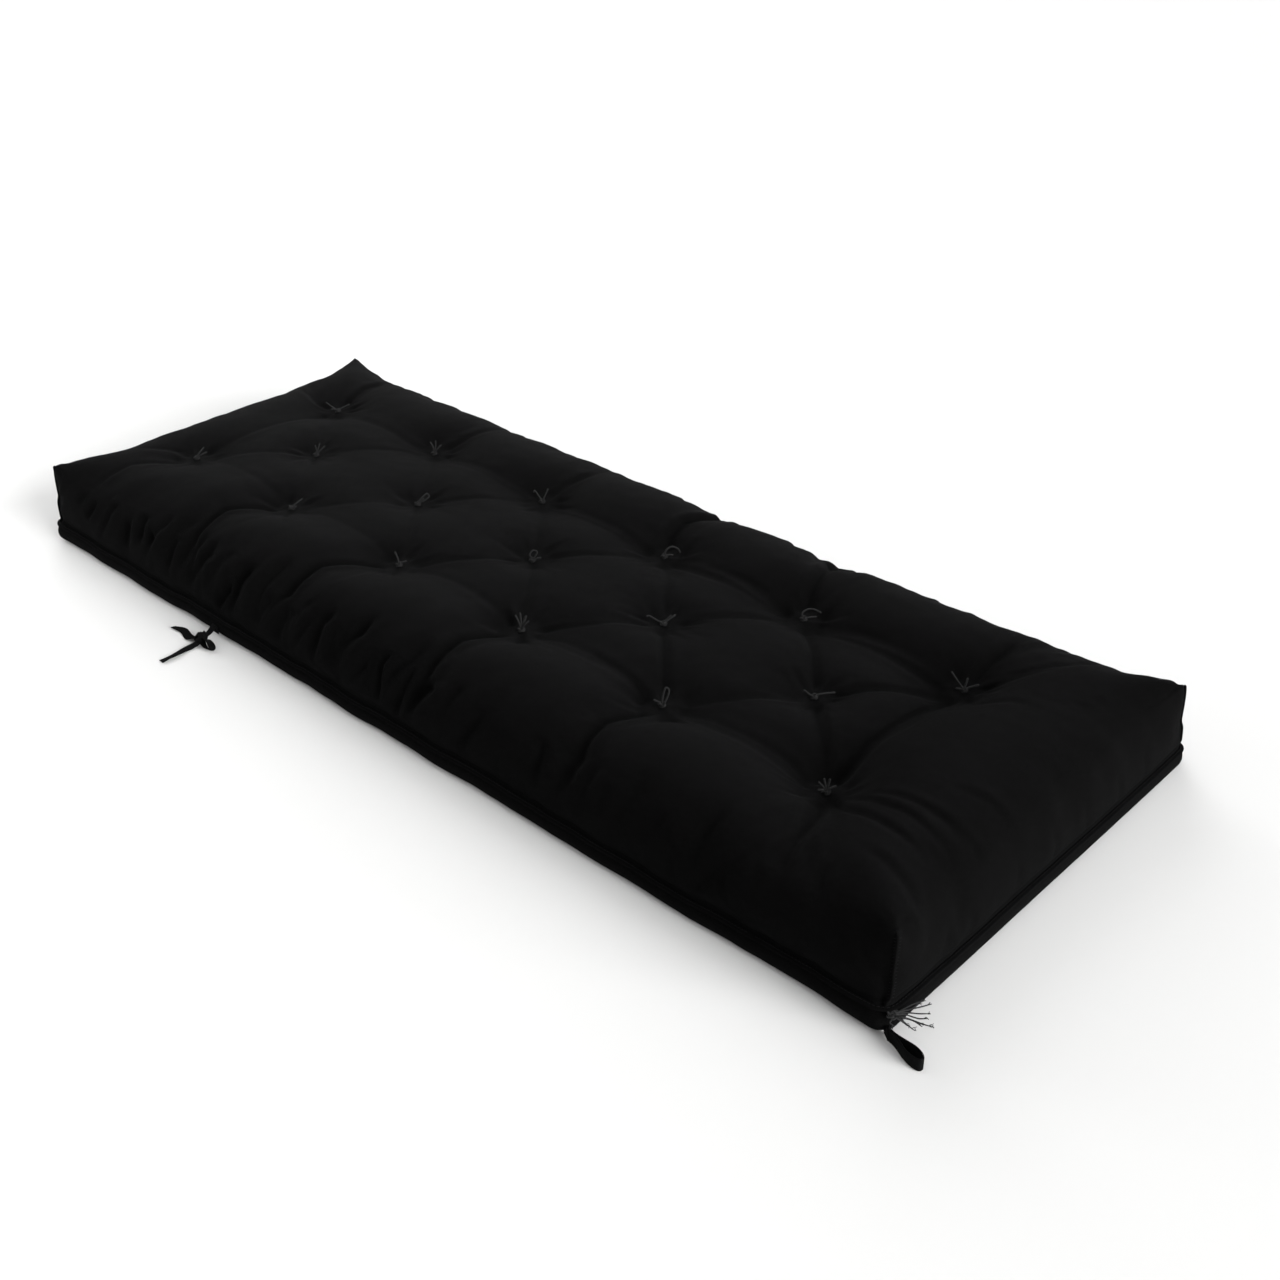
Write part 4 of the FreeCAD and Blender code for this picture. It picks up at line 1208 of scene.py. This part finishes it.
# ---------------------------------------------------------------- corner loops
def corner_loop(label, body, joint_name, heading, around):
    """A tape folded into an eye, standing on edge on the floor, with a sewn root."""
    name = f"corner_loop_{label}"
    low_, high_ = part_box(name)
    joint = next(j for j in frame["joints"] if j["name"] == joint_name)
    pivot = np.array([joint["pos_m"][0], joint["pos_m"][1], (low_.z + high_.z) / 2])
    tall = high_.z - low_.z
    h = math.radians(heading)
    forward = np.array([math.cos(h), math.sin(h), 0])
    left_hand = np.array([-math.sin(h), math.cos(h), 0])
    outline = [(0.0019, 0.001), (0.01, 0.0012), (0.022, 0.0034), (0.036, 0.0064), (0.048, 0.006),
               (0.0555, 0.003), (0.0568, -0.0004), (0.0552, -0.0036), (0.047, -0.0064),
               (0.034, -0.0062),
               (0.021, -0.003), (0.01, -0.001), (0.0019, -0.001)]
    path = curve([pivot + forward * s + left_hand * t for s, t in outline], 72)
    centre = pivot + forward * 0.034
    facing = path - centre
    facing[:14] = left_hand
    facing[-14:] = -left_hand
    for _ in range(3):
        facing[1:-1] = (facing[:-2] + facing[1:-1] + facing[2:]) / 3
    facing[:, 2] = 0.0003 * np.sin(np.arange(72) / 5)
    strip = piece(f"loop_tape_{label}", ribbon(path, tall * 0.98, 0.0015, facing), TAPE, [name],
                  body)
    stitches_ = []
    for s in np.arange(0.003, 0.011, 0.0026):
        for z in (low_.z + 0.0025, high_.z - 0.0025):
            for hand in (1, -1):
                p = pivot + forward * s + left_hand * hand * (0.0021 + 0.00002 * s)
                p[2] = z
                stitches_.append(tube([p - forward * 0.0008, p + left_hand * hand * 0.0002,
                p + forward * 0.0008],
                                      STITCH, sides=5))
    piece(f"loop_stitches_{label}", joined(stitches_), THREAD, body=body)

    root_low_, root_high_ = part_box(f"{name}_root")
    a = math.radians(around)
    out_dir = np.array([math.cos(a), math.sin(a), 0])
    root_path = curve([pivot - out_dir * 0.0128, pivot - out_dir * 0.008, pivot - out_dir * 0.004,
    pivot - out_dir * 0.001], 16)
    side_dir = np.array([-math.sin(a), math.cos(a), 0])
    two = [ribbon(root_path + side_dir * 0.0009 * hand, tall * 0.985, 0.0014, side_dir * hand)
           for hand in (1, -1)]
    box_stitch = []
    for z in (root_low_.z + 0.003, root_high_.z - 0.003):
        for hand in (1, -1):
            p = pivot - out_dir * 0.003 + side_dir * hand * 0.0018
            p[2] = z
            box_stitch.append(tube([p - out_dir * 0.0012, p + side_dir * hand * 0.0002,
            p + out_dir * 0.0012], STITCH, sides=5))
    # The rolled end of the root, round the pivot, which the loop turns about without cutting in.
    roll = [np.array([pivot[0], pivot[1], pivot[2] + tall * 0.49 * end])
            for end in (-1, -0.3, 0.3, 1)]
    two.append(tube(roll, 0.0016, sides=14, up=(1, 0, 0)))
    piece(f"loop_root_{label}", joined(two + box_stitch), TAPE, [f"{name}_root"])


corner_loop("front", "front_loop", "front_loop_swing", -13, -35)
corner_loop("back", "back_loop", "back_loop_swing", 150, 70)

# ---------------------------------------------------------------- closing knot
seam_corner = seam_points[np.argmax(seam_points[:, 0] - seam_points[:, 1])]
knot_centre = np.array([seam_corner[0] + 0.0085, seam_corner[1] - 0.004, seam_corner[2] - 0.0035])
draw = np.random.default_rng(41)
parts = [knot(knot_centre, 0.0042, 0.0013, 3),
         knot(knot_centre + [0.003, -0.002, 0.0005], 0.003, 0.001, 8),
         knot(knot_centre + [0.001, 0.005, -0.001], 0.0034, 0.0012, 5)]
ENDS = [(48, 44, -13), (38, 50, -18), (30, 36, -10), (24, 28, -15), (72, 46, 3), (14, 20, -8),
        (58, 36, 8), (70, 56, -8), (4, 14, 7), (-20, 13, 6), (-50, 12, -7), (62, 50, -14)]
for degrees, reach_, rise in ENDS:
    a = math.radians(degrees)
    way = np.array([math.cos(a), math.sin(a), 0])
    side_way = np.array([-way[1], way[0], 0])
    pts = [knot_centre]
    for share in (0.35, 0.7, 1.0):
        pts.append(knot_centre + (way * reach_ * share + side_way * draw.uniform(-3.5, 3.5) * share
                                  + np.array([0, 0,
                                              rise * share**1.4 + draw.uniform(-1, 1)])) / 1000)
    path = curve(pts, 22)
    radii = np.concatenate([np.full(16, 0.00085), np.linspace(0.00085, 0.0005, 6)])
    parts.append(tube(path, radii, sides=6))
    for k in range(3):
        tip = path[-4]
        fray = [tip, tip + way * 0.003 + side_way * draw.uniform(-0.002, 0.002)
                + [0, 0, draw.uniform(-0.0015, 0.0015)],
                tip + way * 0.0055 + side_way * draw.uniform(-0.004, 0.004) + [0, 0,
                draw.uniform(-0.003, 0.002)]]
        parts.append(tube(curve(fray, 7), 0.00035, sides=5))
piece("closing_knot_threads", joined(parts), FRAYED, ["corner_closing_knot"])

# ---------------------------------------------------------------- floor, light and camera
floor_mesh = bpy.data.meshes.new("studio_floor")
ground = [(-60, -60), (60, -60), (60, 60), (-60, 60)]
floor_mesh.from_pydata([(x, y, -0.0005) for x, y in ground], [], [(0, 1, 2, 3)])
floor = bpy.data.objects.new("studio_floor", floor_mesh)
scene.collection.objects.link(floor)
pale = bpy.data.materials.new("pale_floor")
pale.use_nodes = True
nt = pale.node_tree
surface = nt.nodes["Principled BSDF"]
surface.inputs["Roughness"].default_value = 0.85
surface.inputs["Specular IOR Level"].default_value = 0.1
mottle = nt.nodes.new("ShaderNodeTexNoise")
mottle.inputs["Scale"].default_value = 3.0
tint = nt.nodes.new("ShaderNodeValToRGB")
tint.color_ramp.elements[0].color = (0.58, 0.58, 0.577, 1)
tint.color_ramp.elements[1].color = (0.61, 0.61, 0.607, 1)
nt.links.new(mottle.outputs["Fac"], tint.inputs["Fac"])
nt.links.new(tint.outputs["Color"], surface.inputs["Base Color"])
floor_mesh.materials.append(pale)
floor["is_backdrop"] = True

world = bpy.data.worlds.new("studio")
scene.world = world
world.use_nodes = True
world.node_tree.nodes["Background"].inputs["Color"].default_value = (1.0, 1.0, 1.0, 1)
world.node_tree.nodes["Background"].inputs["Strength"].default_value = 0.35


def soft_sun(name, toward, spread, power):
    """A broad, even light from one side of the room. toward is where it comes from."""
    lamp = bpy.data.lights.new(name, "SUN")
    lamp.energy = power
    lamp.angle = math.radians(spread)
    obj = bpy.data.objects.new(name, lamp)
    scene.collection.objects.link(obj)
    obj.rotation_euler = Vector(toward).to_track_quat("Z", "Y").to_euler()


lamp = bpy.data.lights.new("left_fill", "POINT")
lamp.energy = 72
lamp.shadow_soft_size = 0.6
left_fill = bpy.data.objects.new("left_fill", lamp)
left_fill.location = (-2.1, -1.15, 1.0)
scene.collection.objects.link(left_fill)
soft_sun("back_light", (-0.95, 0.7, 0.5), 45, 2.3)
soft_sun("end_light", (1.0, 0.1, 0.24), 45, 10.4)
soft_sun("top_light", (0.1, -0.25, 1.0), 90, 0.8)

azimuth, elevation, roll = PHOTO_AZIMUTH, 0.55341, -0.021624
aim, reach = Vector((0.23371, -0.02544, 0.1)), 2.41327
back = Vector((math.sin(azimuth) * math.cos(elevation), -math.cos(azimuth) * math.cos(elevation),
               math.sin(elevation)))
level = Vector((0, 0, 1)).cross(back).normalized()
upright = back.cross(level)
across = level * math.cos(roll) + upright * math.sin(roll)
upward = upright * math.cos(roll) - level * math.sin(roll)
lens = bpy.data.cameras.new("photo_camera")
lens.lens, lens.sensor_width = 44.35, 36
lens.clip_end = 50
camera = bpy.data.objects.new("photo_camera", lens)
scene.collection.objects.link(camera)
camera.matrix_world = Matrix.Translation(aim + back
        * reach) @ Matrix((across, upward, back)).transposed().to_4x4()
scene.camera = camera
scene.view_settings.view_transform = "Standard"

low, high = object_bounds()
